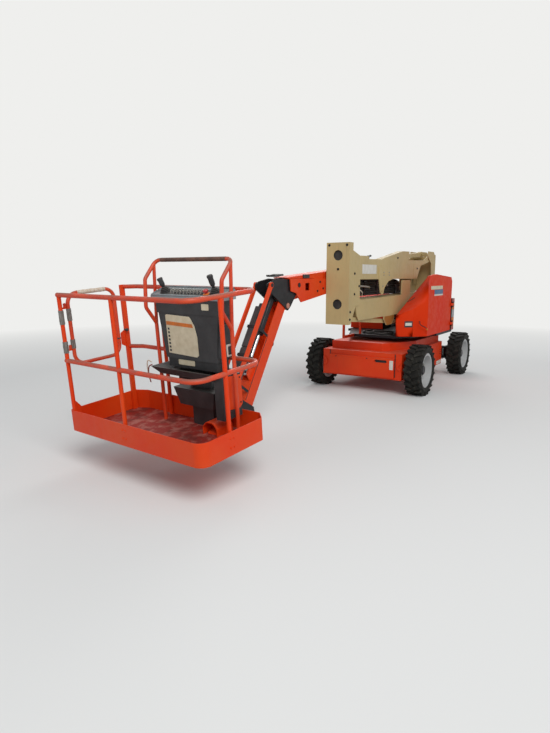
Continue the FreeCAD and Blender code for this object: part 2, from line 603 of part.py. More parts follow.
def build_tower():
    p0 = (TOWER_REAR_X, LOWER_REAR_Z)
    p1 = (TOWER_FRONT_X, LOWER_FRONT_Z)
    p2 = (TOWER_FRONT_X, UPPER_FRONT_Z)
    p3 = (TOWER_REAR_X, UPPER_REAR_Z)
    low, high = LOWER_BEAM_Z
    outer_y = (BEAM_Y[0] - RUN - RISER_T - 8, BEAM_Y[1] + RUN + RISER_T + 8)
    inner_y = (BEAM_Y[0] + BEAM_WALL, BEAM_Y[1] - BEAM_WALL)
    outline = [(2170, low), (2225, low + 60), (p1[0] + 42, p1[1] - 30), (p1[0] + 42, p1[1] + 42),
               (p1[0] - 52, p1[1] + 42), (p1[0] - 120, high - 3), (-300, high + 30),
               (p0[0] - 60, p0[1] + 80), (p0[0] - 60, p0[1] - 60), (-300, p0[1] - 60),
               (-120, low + 6)]
    beam = prism("xz", outline, BEAM_Y, [0, 10, 30, 30, 20, 20, 20, 40, 40, 0, 0])
    hollow = [(2300, 900), (2300, p1[1] + 29), (p1[0] - 56, p1[1] + 29), (p1[0] - 124, high - 17),
              (-300, high + 16), (p0[0] - 46, p0[1] + 72), (p0[0] - 70, 900)]
    beam = beam.cut(prism("xz", hollow, inner_y))
    for point, y in ((p0, outer_y), (p1, TOWER_Y)):
        beam = fuse(beam, eye(point, (BEAM_Y[0] + inner_y[0]) / 2, BEAM_WALL, 40), pin(point, y))
    lug = [(TOWER_LIFT[1][0] - 60, low + 22), (TOWER_LIFT[1][0] + 60, low + 22),
           (TOWER_LIFT[1][0] + 36, TOWER_LIFT[1][1] - 30),
           (TOWER_LIFT[1][0] - 36, TOWER_LIFT[1][1] - 30)]
    for side in (-1, 1):
        y = TOWER_LIFT[2] + side * (EYE_W / 2 + SIDE)
        beam = fuse(beam, prism("xz", lug, sorted((y, y + side * 14))))
    web = box((TOWER_LIFT[1][0] - 60, TOWER_LIFT[1][0] + 60), (inner_y[0] - 1, inner_y[1] + 1),
              (low + 8, low + 22))
    beam = fuse(beam, web, *tower_brackets())
    add("lower_tower", beam)

    l0 = (p0[0] + LOWER_LINK[0], p0[1] + LOWER_LINK[1])
    l1 = (p1[0] + LOWER_LINK[0], p1[1] + LOWER_LINK[1])
    add("lower_link", link_shape(l0, l1, LOWER_LINK_Y, LINK_H, LINK_W))

    plate = [(2500, UPRIGHT_Z[0]), (2500, UPRIGHT_Z[1]), (2400, UPRIGHT_Z[1]), (2400, 1940),
             (2190, 1880), (2190, 1300), (2300, 1280), (2440, UPRIGHT_Z[0])]
    parts = []
    for y in (TOWER_Y[0], TOWER_Y[1] - UPRIGHT_T):
        holes = [(p[0], p[1], PIN_R + FIT) for p in (p1, p2)]
        parts.append(prism("xz", plate, (y, y + UPRIGHT_T), 0, holes))
    face = prism("yz", [(TOWER_Y[0], UPRIGHT_Z[0]), (TOWER_Y[1], UPRIGHT_Z[0]),
                        (TOWER_Y[1], UPRIGHT_Z[1]), (TOWER_Y[0], UPRIGHT_Z[1])],
                 (UPRIGHT_FRONT_X - UPRIGHT_T, UPRIGHT_FRONT_X), 0,
                 [(sum(TOWER_Y) / 2, z, UPRIGHT_HOLE_R) for z in UPRIGHT_HOLES_Z])
    parts.append(face)
    for point, y, down in ((l1, LOWER_LINK_Y, 1), ((p2[0] + UPPER_LINK[0], p2[1] + UPPER_LINK[1]),
                                                  UPPER_LINK_Y, 1)):
        for side in (-1, 1):
            edge = y + side * (LINK_W / 2 + SIDE)
            ear = [(2495, point[1] - 40), (2495, point[1] + 40), (point[0], point[1] + 34),
                   (point[0] - 34, point[1] + 10), (point[0] - 34, point[1] - 20),
                   (point[0], point[1] - 34)]
            parts.append(prism("xz", ear, sorted((edge, edge + side * 10))))
        parts.append(pin(point, (y - LINK_W / 2 - 12, y + LINK_W / 2 + 12), PIN_R - 5))
    add("mid_upright", fuse(*parts))

    low, high = UPPER_BEAM_Z
    outline = [(2170, low), (p2[0] + 40, low + 30), (p2[0] + 40, p2[1] + 60), (2190, high - 17),
               (-200, high + 18), (p3[0] - 20, p3[1] + 60), (p3[0] - 50, p3[1]), (p3[0], p3[1] - 50),
               (-100, 1800), (60, low)]
    beam = prism("xz", outline, BEAM_Y, [0, 20, 30, 0, 0, 30, 30, 30, 0, 0])
    hollow = [(2300, low + 12), (2300, 2100), (-700, 2100), (-700, p3[1] - 10), (-60, 1830),
              (70, low + 12)]
    beam = beam.cut(prism("xz", hollow, inner_y))
    for point in (p2, p3):
        beam = fuse(beam, pin(point, TOWER_Y))
    cap = prism("xz", [(436, high - 12), (1484, high - 12), (1450, high + 4), (705, 1992),
                       (436, 1997)], (UPPER_LINK_Y + LINK_W / 2 + 12, BEAM_Y[1]),
                [0, 0, 20, 60, 14])
    beam = fuse(beam, cap, stowing_plate())
    add("upper_tower", beam)
    l2 = (p2[0] + UPPER_LINK[0], p2[1] + UPPER_LINK[1])
    l3 = (p3[0] + UPPER_LINK[0], p3[1] + UPPER_LINK[1])
    add("upper_link", link_shape(l2, l3, UPPER_LINK_Y, LINK_H, LINK_W))

    rear = [(p3[0] - 220, 1500), (p3[0] - 220, 1960), (p3[0] - 120, 2030), (p3[0] + 150, 2030),
            (p3[0] + 170, 1960), (p3[0] + 60, 1880), (p3[0] - 20, 1840), (p3[0] - 40, 1500)]
    parts = []
    for y in (TOWER_Y[0], TOWER_Y[1] - UPRIGHT_T):
        parts.append(prism("xz", rear, (y, y + UPRIGHT_T), 0, [(p3[0], p3[1], PIN_R + FIT)]))
    for side in (-1, 1):
        edge = UPPER_LINK_Y + side * (LINK_W / 2 + SIDE)
        ear = [(p3[0] - 220, l3[1] - 28), (p3[0] - 220, l3[1] - 18), (p3[0] - 100, l3[1] + 32),
               (l3[0], l3[1] + 32), (l3[0] + 34, l3[1]), (l3[0], l3[1] - 28)]
        parts.append(prism("xz", ear, sorted((edge, edge + side * 10))))
    parts.append(pin(l3, (UPPER_LINK_Y - LINK_W / 2 - 12, UPPER_LINK_Y + LINK_W / 2 + 12),
                     PIN_R - 5))
    back = box((p3[0] - 230, p3[0] - 212), (BOOM_Y - 105, TOWER_Y[1]), (1400, 1985))
    parts.append(back)
    carrier = [(p3[0] - 60, 1292), (p3[0] - 220, 1400), (p3[0] - 220, 1900),
               (BOOM_PIN[0] + 50, 1900), (BOOM_PIN[0] + 60, 1780), (LIFT[0][0] + 50, 1360),
               (LIFT[0][0] + 40, 1292)]
    for y in (BOOM_Y - BOOM_W / 2 - RUN - 14, BOOM_Y + BOOM_W / 2 + RUN):
        parts.append(prism("xz", carrier, (y, y + 14), 20, [(BOOM_PIN[0], BOOM_PIN[1],
                                                             PIN_R + FIT)]))
    parts.append(pin(LIFT[0], (BOOM_Y - BOOM_W / 2 - RUN - 16, BOOM_Y + BOOM_W / 2 + RUN + 16)))
    add("rear_upright", fuse(*parts))
    cylinder("tower_lift", *TOWER_LIFT)
    cylinder("boom_lift", *LIFT)


def boom_point(distance, side=0.0):
    """Point in XZ along the stowed boom from its pin, and up from its middle line."""
    return along(BOOM_PIN, BOOM_DROP, distance, side)


def build_boom():
    w = BOOM_W / 2
    y = (BOOM_Y - w, BOOM_Y + w)
    tube = slab(boom_point(-50), boom_point(BOOM_END), BOOM_H, y, 12)
    bore_w = w - BOOM_WALL
    bore = slab(boom_point(120), boom_point(BOOM_END + 50), BOOM_H - 2 * BOOM_WALL,
                (BOOM_Y - bore_w, BOOM_Y + bore_w))
    tube = tube.cut(bore)
    fly_w = bore_w - 7
    fly_h = BOOM_H - 2 * BOOM_WALL - 14
    parts = [tube, pin(BOOM_PIN, (y[0] - RUN - 16, y[1] + RUN + 16))]
    reach = (LIFT[1][0] - BOOM_PIN[0]) / math.cos(math.radians(BOOM_DROP))
    lug = [boom_point(reach - 70, 4 - BOOM_H / 2), boom_point(reach + 90, 4 - BOOM_H / 2),
           (LIFT[1][0] + 40, LIFT[1][1] - 34), (LIFT[1][0] - 40, LIFT[1][1] - 34)]
    for side in (-1, 1):
        edge = BOOM_Y + side * (EYE_W / 2 + SIDE)
        parts.append(prism("xz", lug, sorted((edge, edge + side * 12))))
    for side in (-1, 1):
        pad = slab(boom_point(BOOM_END - 130, side * (BOOM_H / 2 - BOOM_WALL - 3.35)),
                   boom_point(BOOM_END - 10, side * (BOOM_H / 2 - BOOM_WALL - 3.35)), 6.7,
                   (BOOM_Y - 40, BOOM_Y + 40))
        parts.append(pad)
    add("main_boom", fuse(*parts))
    start = 900
    end = (BRACKET_PIN[0] - 350 - BOOM_PIN[0]) / math.cos(math.radians(BOOM_DROP))
    fly = slab(boom_point(start), boom_point(end), fly_h, (BOOM_Y - fly_w, BOOM_Y + fly_w), 10)
    fly = fly.cut(slab(boom_point(start - 10), boom_point(end + 10), fly_h - 2 * FLY_WALL,
                       (BOOM_Y - fly_w + FLY_WALL, BOOM_Y + fly_w - FLY_WALL)))
    parts = [fly]
    nose = [(2430, 1613), (3303, 1613), (3285, 1480), (3180, 1459), (3070, 1354), (2478, 1431)]
    inside = w + RUN
    for side in (-1, 1):
        edge = BOOM_Y + side * inside
        holes = [(BRACKET_PIN[0], BRACKET_PIN[1], PIN_R + FIT)]
        cheek = prism("xz", nose, sorted((edge, edge + side * NOSE_T)), 0, holes)
        window = prism("xz", [(2883, 1480), (2981, 1480), (2981, 1565), (2883, 1565)],
                       sorted((edge - side, edge + side * (NOSE_T + 1))), 8)
        parts.append(cheek.cut(window))
        gap = slab(boom_point(BOOM_END + 30), boom_point(end), 120,
                   sorted((BOOM_Y + side * (fly_w - 1), edge + side)))
        parts.append(gap)
    add("fly_boom", fuse(*parts))


def build_jib():
    lower = JIB_PIN
    upper = along(JIB_PIN, JIB_DROP, 0, JIB_LINK_UP)
    lower_end = along(JIB_PIN, JIB_DROP, JIB_L)
    upper_end = along(JIB_PIN, JIB_DROP, JIB_L, JIB_LINK_UP)
    half = JIB_BEAM_W / 2
    cheek_in = half + SIDE
    bracket = [(BRACKET_PIN[0] - 45, BRACKET_PIN[1] - 30), (BRACKET_PIN[0] - 30, BRACKET_PIN[1] + 50),
               (upper[0] - 200, upper[1] + 66), (upper[0] - 30, upper[1] + 40),
               (upper[0] + 50, upper[1] + 10),
               (upper[0] + 30, upper[1] - 50), (lower[0] + 60, lower[1] - 10),
               (lower[0], lower[1] - 55), (lower[0] - 60, lower[1] - 10)]
    parts = []
    for side in (-1, 1):
        edge = BOOM_Y + side * cheek_in
        parts.append(prism("xz", bracket, sorted((edge, edge + side * BRACKET_T)), 20))
    y = (BOOM_Y - BOOM_W / 2 - RUN - NOSE_T - 6, BOOM_Y + BOOM_W / 2 + RUN + NOSE_T + 6)
    short = (BOOM_Y - cheek_in - BRACKET_T, BOOM_Y + cheek_in + BRACKET_T)
    parts.append(pin(BRACKET_PIN, y))
    wide = (BOOM_Y - JIB_LINK_Y - 16, BOOM_Y + JIB_LINK_Y + 16)
    parts.append(pin(lower, short, PIN_R))
    for side in (-1, 1):
        stub = sorted((BOOM_Y + side * cheek_in, BOOM_Y + side * (JIB_LINK_Y + 16)))
        parts.append(pin(upper, stub, PIN_R - 5))
    jib_base = along(JIB_PIN, JIB_DROP, *JIB_LIFT_BASE)
    parts.append(pin(jib_base, short, PIN_R))
    add("level_bracket", fuse(*parts))

    beam = slab(along(JIB_PIN, JIB_DROP, 0, JIB_BEAM_UP),
                along(JIB_PIN, JIB_DROP, JIB_L, JIB_BEAM_UP), JIB_BEAM_H,
                (BOOM_Y - half, BOOM_Y + half), 14)
    inner = slab(along(JIB_PIN, JIB_DROP, 60, JIB_BEAM_UP),
                 along(JIB_PIN, JIB_DROP, JIB_L - 60, JIB_BEAM_UP),
                 JIB_BEAM_H - 14, (BOOM_Y - half + 7, BOOM_Y + half - 7))
    beam = beam.cut(inner)
    mouth = slab(along(JIB_PIN, JIB_DROP, -60, JIB_BEAM_UP), along(JIB_PIN, JIB_DROP, 800, JIB_BEAM_UP),
                 JIB_BEAM_H, (BOOM_Y - half + 7, BOOM_Y + half - 7), 0, 0)
    beam = beam.cut(mouth)
    ends = [eye(p, BOOM_Y, JIB_BEAM_W, 45) for p in (lower, lower_end)]
    beam = fuse(beam, *ends)
    for p in (lower, lower_end):
        beam = beam.cut(eye(p, BOOM_Y, 300, PIN_R + FIT))
    tip = along(JIB_PIN, JIB_DROP, *JIB_LIFT_TIP)
    ears = []
    for side in (-1, 1):
        edge = BOOM_Y + side * (EYE_W / 2 + SIDE)
        ear = [along(JIB_PIN, JIB_DROP, 820, 140), along(JIB_PIN, JIB_DROP, 980, 140),
               along(JIB_PIN, JIB_DROP, 935, 236), along(JIB_PIN, JIB_DROP, 865, 236)]
        ears.append(prism("xz", ear, sorted((edge, edge + side * 12))))
    add("jib_beam", fuse(beam, *ears))
    bars = [link_shape(upper, upper_end, BOOM_Y + side * JIB_LINK_Y, JIB_LINK_H, JIB_LINK_W)
            for side in (-1, 1)]
    add("jib_link", *bars)
    cylinder("jib_lift", jib_base, tip, BOOM_Y, 38, 22, JIB_LIFT_GLAND, 460)

    turn = platform_frame()
    post = turn.multVec(Vec(ROTATOR_U, ROTATOR_V, 0))
    support = [(lower_end[0] - 50, lower_end[1] - 20), (lower_end[0], lower_end[1] - 55),
               (post.x - 130, post.z - 46), (post.x - 92, post.z + 22), (post.x + 30, post.z + 20),
               (post.x + 50, post.z + 200), (upper_end[0] + 40, upper_end[1] + 40),
               (upper_end[0] - 40, upper_end[1] + 20), (lower_end[0] - 30, lower_end[1] + 50)]
    parts = []
    for side in (-1, 1):
        edge = BOOM_Y + side * cheek_in
        parts.append(prism("xz", support, sorted((edge, edge + side * BRACKET_T)), 0))
    parts.append(pin(lower_end, short, PIN_R))
    parts.append(pin(upper_end, wide, PIN_R - 5))
    tilt = FreeCAD.Rotation(Y_DIR, PLAT_DROOP)
    axis = tilt.multVec(Z_DIR)
    housing = rod(post + axis * 10, post + axis * (ROTATOR_H + 10), ROTATOR_R)
    parts.append(housing)
    body = fuse(*parts)
    body = body.cut(rod(post - axis * 200, post + axis * 600, 45 + FIT))
    add("jib_support", body)


def platform_frame():
    """Place of the platform: tilted forward and turned about its rotator."""
    tilt = FreeCAD.Rotation(Y_DIR, PLAT_DROOP)
    turn = FreeCAD.Rotation(Z_DIR, PLAT_TURN)
    return FreeCAD.Placement(Vec(PLAT_CENTRE[0], PLAT_CENTRE[1], PLAT_Z), tilt.multiply(turn))


def placed(shape):
    """The shape moved from the platform's own frame to the machine's."""
    moved = shape.copy()
    moved.Placement = platform_frame().multiply(moved.Placement)
    return moved


def pan_outline(inset):
    u = PLAT_L / 2 - inset
    v = PLAT_W / 2 - inset
    cut = 90 - 0.4 * inset
    points = [(u, -v), (u, v), (cut - u, v), (-u, v - cut), (-u, LATCH_CUT[1] - v),
              (LATCH_CUT[0] - u, -v)]
    return points, [40 - inset, 90 - inset, 20, 20, 20, 20]


def sections(rows, middle):
    """Loft through upright boxes' outlines: rows are (height, rear u, front u, half width)."""
    wires = []
    for height, back, front, half in rows:
        corners = [Vec(back, middle - half, height), Vec(front, middle - half, height),
                   Vec(front, middle + half, height), Vec(back, middle + half, height)]
        wires.append(Part.makePolygon(corners + corners[:1]))
    return Part.makeLoft(wires, True, True)


def build_console():
    """The control console behind its bent tube guard, and the foot switch."""
    c = CONSOLE_V
    left = [(u, c - GUARD_HALF, w) for u, w in GUARD_SIDE]
    right = [(u, c + GUARD_HALF, w) for u, w in reversed(GUARD_SIDE)]
    guard = [bent_tube(left + right, GUARD_R, GUARD_BEND)]
    for side in (-1, 1):
        v = c + side * GUARD_HALF
        guard.append(rod((-258, v, 1360), (-226, v, 860), GUARD_R - 2))
    add("console_guard", placed(fuse(*guard)))
    body = sections([(595, -322, -185, 290), (970, -326, -178, 336)], c)
    band = box((-326, -172), (c - 350, c + 350), (970, 1085))
    tray = sections([(470, -300, -110, 300), (528, -328, -80, 385)], c)
    tray = tray.cut(sections([(480, -292, -118, 292), (540, -318, -90, 375)], c))
    neck = box((-326, -195), (c - 280, c + 280), (520, 600))
    wedge = sections([(195, -326, -200, 190), (345, -326, -176, 235)], c)
    spine = box((-326, -270), (c - 120, c + 120), (PAN_T, 620))
    side_box = box((-300, -190), (c + 290, c + 372), (640, 900))
    house = box((-328, -120), (c + 302, c + 390), (158, 505))
    shelf = box((-328, -270), (c + 100, c + 310), (260, 300))
    add("console", placed(fuse(body, band, tray, neck, wedge, spine, side_box, house, shelf)))
    panel = prism("xz", [(-328, 1085 + SEAT), (-165, 1085 + SEAT), (-165, 1112), (-328, 1168)],
                  (c - 400, c + 400), [0, 0, 12, 12])
    add("console_panel", placed(panel))
    hood = prism("yz", [(296, PAN_T), (456, PAN_T), (456, 70), (416, 118), (336, 118), (296, 70)],
                 (-310, -125), [0, 0, 40, 40, 40, 40])
    hollow = prism("yz", [(304, -1), (448, -1), (448, 68), (412, 110), (340, 110), (304, 68)],
                   (-302, -100), [0, 0, 34, 34, 34, 34])
    hood = hood.cut(hollow)
    pedal = prism("xz", [(-303, PAN_T), (-150, PAN_T), (-155, 24), (-303, 52)], (326, 426))
    add("foot_switch", placed(fuse(hood, pedal)))


def gusset(u, v):
    """Web at a post's foot, along the platform's right side."""
    return prism("xz", [(u, 40), (u - 85, TOE_H - 25), (u - 85, TOE_H), (u, TOE_H + 105)],
                 (-v - 4, 4 - v))


def build_platform():
    outer, outer_r = pan_outline(0)
    inner, inner_r = pan_outline(TOE_T)
    pan = prism("xy", outer, (0, TOE_H), outer_r)
    pan = pan.cut(prism("xy", inner, (PAN_T, TOE_H + 1), inner_r))
    add("platform_pan", placed(pan))
    u = PLAT_L / 2 - TOE_T - SEAT - RAIL_R
    v = PLAT_W / 2 - TOE_T - SEAT - RAIL_R
    rails = []
    for name, height in (("platform_top_rail", TOP_RAIL), ("platform_mid_rail", MID_RAIL)):
        path = [(u, -v, height), (u, v, height), (-u, v, height),
                (-u, LATCH_CUT[1] - v, height), (LATCH_CUT[0] - u, -v, height)]
        rail = bent_tube(path, RAIL_R, 110)
        around = bent_tube(path, RAIL_R + FIT, 110)
        rails.append(around)
        add(name, placed(rail))
    posts = [rod((x, y, PAN_T), (x, y, TOP_RAIL), POST_R)
             for x, y in ((u, -60), (60, v), (-u, 250), (-u, -330))]
    latch = box(LATCH_POST, (-v - 12, 12 - v), (PAN_T, TOP_RAIL + RAIL_R))
    plate = prism("xz", [(LATCH_POST[0], 590), (-215, 640), (-215, 745), (LATCH_POST[0], 800)],
                  (-v - 4, 4 - v), [0, 15, 15, 0])
    posts.append(fuse(latch, plate))
    hinge_u, hinge_v = GATE_HINGE
    corner = rod((u, POST_R - v, PAN_T), (u, POST_R - v, TOP_RAIL + RAIL_R), POST_R)
    lugs = []
    for height in GATE_HINGES_Z:
        lugs.append(box((hinge_u - 10, u), (hinge_v - 8, hinge_v + 8), (height - 14, height - SIDE)))
        lugs.append(rod((hinge_u, hinge_v, height - 14), (hinge_u, hinge_v, height + 34),
                        HINGE_PIN_R))
    posts.append(fuse(corner, gusset(u, v), *lugs))
    pieces = []
    for post in posts:
        for rail in rails:
            post = post.cut(rail)
        pieces += [piece for piece in post.Solids if piece.BoundBox.ZLength > RAIL_R * 2]
    add("platform_posts", *[placed(piece) for piece in pieces])
    near = hinge_u - 30
    low = MID_RAIL - 50
    gate = bent_tube([(near, hinge_v, 900), (near, hinge_v, TOP_RAIL), (GATE_END, hinge_v, TOP_RAIL),
                      (GATE_END, hinge_v, low), (near, hinge_v, low), (near, hinge_v, 899)],
                     GATE_R, 90)
    knuckles = []
    for height in GATE_HINGES_Z:
        knuckle = rod((hinge_u, hinge_v, height), (hinge_u, hinge_v, height + 30), 13)
        tab = box((near, hinge_u), (hinge_v - 6, hinge_v + 6), (height, height + 30))
        bore = rod((hinge_u, hinge_v, height - 1), (hinge_u, hinge_v, height + 31), HINGE_PIN_R + FIT)
        knuckles.append(knuckle.fuse(tab).cut(bore))
    catch = box((-160, -130), (hinge_v - 5, hinge_v + 5), (low, 735))
    arm = box((GATE_END, -130), (hinge_v - 5, hinge_v + 5), (715, 745))
    add("gate", placed(fuse(gate, catch, arm, *knuckles)))
    build_console()
    under = [box((-PLAT_L / 2 - 80, PLAT_L / 2 - 100), (y - 30, y + 30), (-60, -SEAT))
             for y in (ROTATOR_V - 90, ROTATOR_V + 90)]
    under.append(box((-PLAT_L / 2 - 80, -PLAT_L / 2 - 20), (ROTATOR_V - 120, ROTATOR_V + 120),
                     (-60, 420)))
    arm = box((ROTATOR_U - 60, -PLAT_L / 2 - 50), (ROTATOR_V - 60, ROTATOR_V + 60),
              (-60, 10 - SIDE))
    arm2 = box((ROTATOR_U - 60, -PLAT_L / 2 - 50), (ROTATOR_V - 60, ROTATOR_V + 60),
               (ROTATOR_H + 10 + SIDE, ROTATOR_H + 60))
    shaft = rod((ROTATOR_U, ROTATOR_V, -40), (ROTATOR_U, ROTATOR_V, ROTATOR_H + 40), 45)
    under += [arm, arm2, shaft]
    add("platform_mount", placed(fuse(*under)))


def build_all():
    build_chassis()
    build_axles()
    build_wheels()
    build_turntable()
    build_hoods()
    build_tower()
    build_boom()
    build_jib()
    build_platform()


def write_all():
    """Move every node to the shared origin and write one STEP for each."""
    whole = Part.makeCompound(list(NODES.values())).BoundBox
    shift = Vec(-(whole.XMin + whole.XMax) / 2, -(whole.YMin + whole.YMax) / 2, 0)
    os.makedirs("parts", exist_ok=True)
    for name, shape in NODES.items():
        moved = shape.copy()
        moved.translate(shift)
        moved.exportStep("parts/" + name + ".step")
    return shift


build_all()
SHIFT = write_all()
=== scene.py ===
"""Articulating boom lift: the looks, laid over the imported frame.

The frame gives every rigid node. This script gives each node its finish and adds what the solids
leave out: the control console's switches, plates, tape, hoses, wheel nuts and other fasteners.
Lengths are millimetres from the slewing axis on the ground until `at` turns them to metres.
"""

import json
import logging
import math
import random
from dataclasses import dataclass, field
from enum import Enum
from typing import Any, Callable, Iterable, Sequence

import bmesh
import bpy
from mathutils import Matrix, Vector
from mathutils.bvhtree import BVHTree


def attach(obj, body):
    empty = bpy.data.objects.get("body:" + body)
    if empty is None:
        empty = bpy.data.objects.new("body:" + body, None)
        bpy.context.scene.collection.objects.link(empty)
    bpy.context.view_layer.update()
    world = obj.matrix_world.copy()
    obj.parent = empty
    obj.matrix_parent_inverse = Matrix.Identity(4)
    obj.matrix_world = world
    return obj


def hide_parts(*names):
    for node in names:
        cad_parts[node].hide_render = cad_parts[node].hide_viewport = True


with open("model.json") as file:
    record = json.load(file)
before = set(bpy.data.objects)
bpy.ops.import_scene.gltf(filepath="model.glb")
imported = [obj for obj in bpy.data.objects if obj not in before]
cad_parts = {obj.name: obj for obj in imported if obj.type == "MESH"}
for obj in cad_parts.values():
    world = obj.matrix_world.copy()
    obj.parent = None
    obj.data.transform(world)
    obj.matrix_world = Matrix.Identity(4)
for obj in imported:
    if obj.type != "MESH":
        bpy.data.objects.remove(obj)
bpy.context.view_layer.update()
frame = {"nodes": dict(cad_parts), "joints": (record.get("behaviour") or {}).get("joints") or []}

LOG = logging.getLogger("boom_lift")

Point = Sequence[float]
Outline = list[tuple[float, float]]
Place = Callable[[float, float, float], Vector]
Socket = bpy.types.NodeSocket

SWING_X = next(float(joint["pos_m"][0]) for joint in frame["joints"] if joint["name"] == "swing")
AHEAD = Vector((1, 0, 0))
LEFT = Vector((0, 1, 0))
UP = Vector((0, 0, 1))

# The platform, as in the part's source
PLATFORM_CENTRE = (5186.0, 17.0, 365.0)
PLATFORM_DROOP = math.radians(5.0)
PLATFORM_TURN = math.radians(-4.4)
PAN_HALF = (375.0, 790.0)
RAIL_V = -765.7
TOP_RAIL = 1157.0

# The stowed boom and jib
BOOM_Y = -52.0
JIB_PIN = (3318.0, 1325.0)
JIB_DROP = math.radians(57.0)

# Edges sharper than this stay hard, and corners nearer than this in metres are one
SMOOTH_UP_TO = math.radians(35)
SAME_CORNER = 1e-6


def at(x: float, y: float, z: float) -> Vector:
    """Point of the machine in metres, from millimetres about the slewing axis."""
    return Vector((x / 1000 + SWING_X, y / 1000, z / 1000))


PLATFORM_MATRIX = (Matrix.Translation(at(*PLATFORM_CENTRE))
                   @ Matrix.Rotation(PLATFORM_DROOP, 4, "Y")
                   @ Matrix.Rotation(PLATFORM_TURN, 4, "Z"))


def on_platform(u: float, v: float, w: float) -> Vector:
    """Point of the platform in metres, u forward, v left and w up, in millimetres."""
    return PLATFORM_MATRIX @ Vector((u / 1000, v / 1000, w / 1000))


PLATFORM_AHEAD = (on_platform(1, 0, 0) - on_platform(0, 0, 0)).normalized()
PLATFORM_LEFT = (on_platform(0, 1, 0) - on_platform(0, 0, 0)).normalized()


def on_jib(distance: float, y: float, side: float) -> Vector:
    """Point by the stowed jib: along it, across from its middle plane, up from its pins' line."""
    c, s = math.cos(JIB_DROP), math.sin(JIB_DROP)
    return at(JIB_PIN[0] + distance * c + side * s, BOOM_Y + y,
              JIB_PIN[1] - distance * s + side * c)


def side_on(y: float, side: int = 1, place: Place = at) -> Place:
    """Plane that faces left, or right with side -1: its points take x, z and the way out."""
    return lambda a, b, c: place(a, side * (y + c), b)


def front_on(x: float, place: Place = at) -> Place:
    """Plane that faces ahead: its points take y, z and the way out."""
    return lambda a, b, c: place(x + c, a, b)


def linear(hex_colour: str) -> tuple[float, float, float, float]:
    """Linear colour for a shader socket.

    Args:
        hex_colour: sRGB colour as six hex digits.

    Returns:
        The linear colour, with 1 as its fourth value.
    """
    values = [int(hex_colour[i:i + 2], 16) / 255 for i in (0, 2, 4)]
    out = [v / 12.92 if v <= 0.04045 else ((v + 0.055) / 1.055) ** 2.4 for v in values]
    return (out[0], out[1], out[2], 1.0)


def add_node(tree: bpy.types.NodeTree, kind: str, inputs: dict[Any, Any] | None = None,
             **settings: Any) -> bpy.types.Node:
    """Add a node with its settings, its values and its links.

    Args:
        tree: node tree that takes the node.
        kind: Blender's type name of the node.
        inputs: value or linked socket for each input, by name or number.
        **settings: properties of the node.

    Returns:
        The new node.
    """
    node = tree.nodes.new(kind)
    for name, value in settings.items():
        setattr(node, name, value)
    for socket, value in (inputs or {}).items():
        if isinstance(value, Socket):
            tree.links.new(value, node.inputs[socket])
        else:
            node.inputs[socket].default_value = value
    return node


def add_object(name: str, data: Any) -> bpy.types.Object:
    """Add an object to the scene.

    Args:
        name: its name.
        data: its mesh, lamp or camera.

    Returns:
        The object.
    """
    made = bpy.data.objects.new(name, data)
    bpy.context.scene.collection.objects.link(made)
    return made


class Slot(Enum):
    """Material slots of the record."""

    ORANGE = "orange"
    CREAM = "cream"
    BLACK = "black_paint"
    GREY = "grey_paint"
    RIM = "rim_paint"
    TYRE = "tyre"
    STEEL = "steel"
    CHROME = "chrome"
    PLASTIC = "plastic"
    BATTERY = "battery"


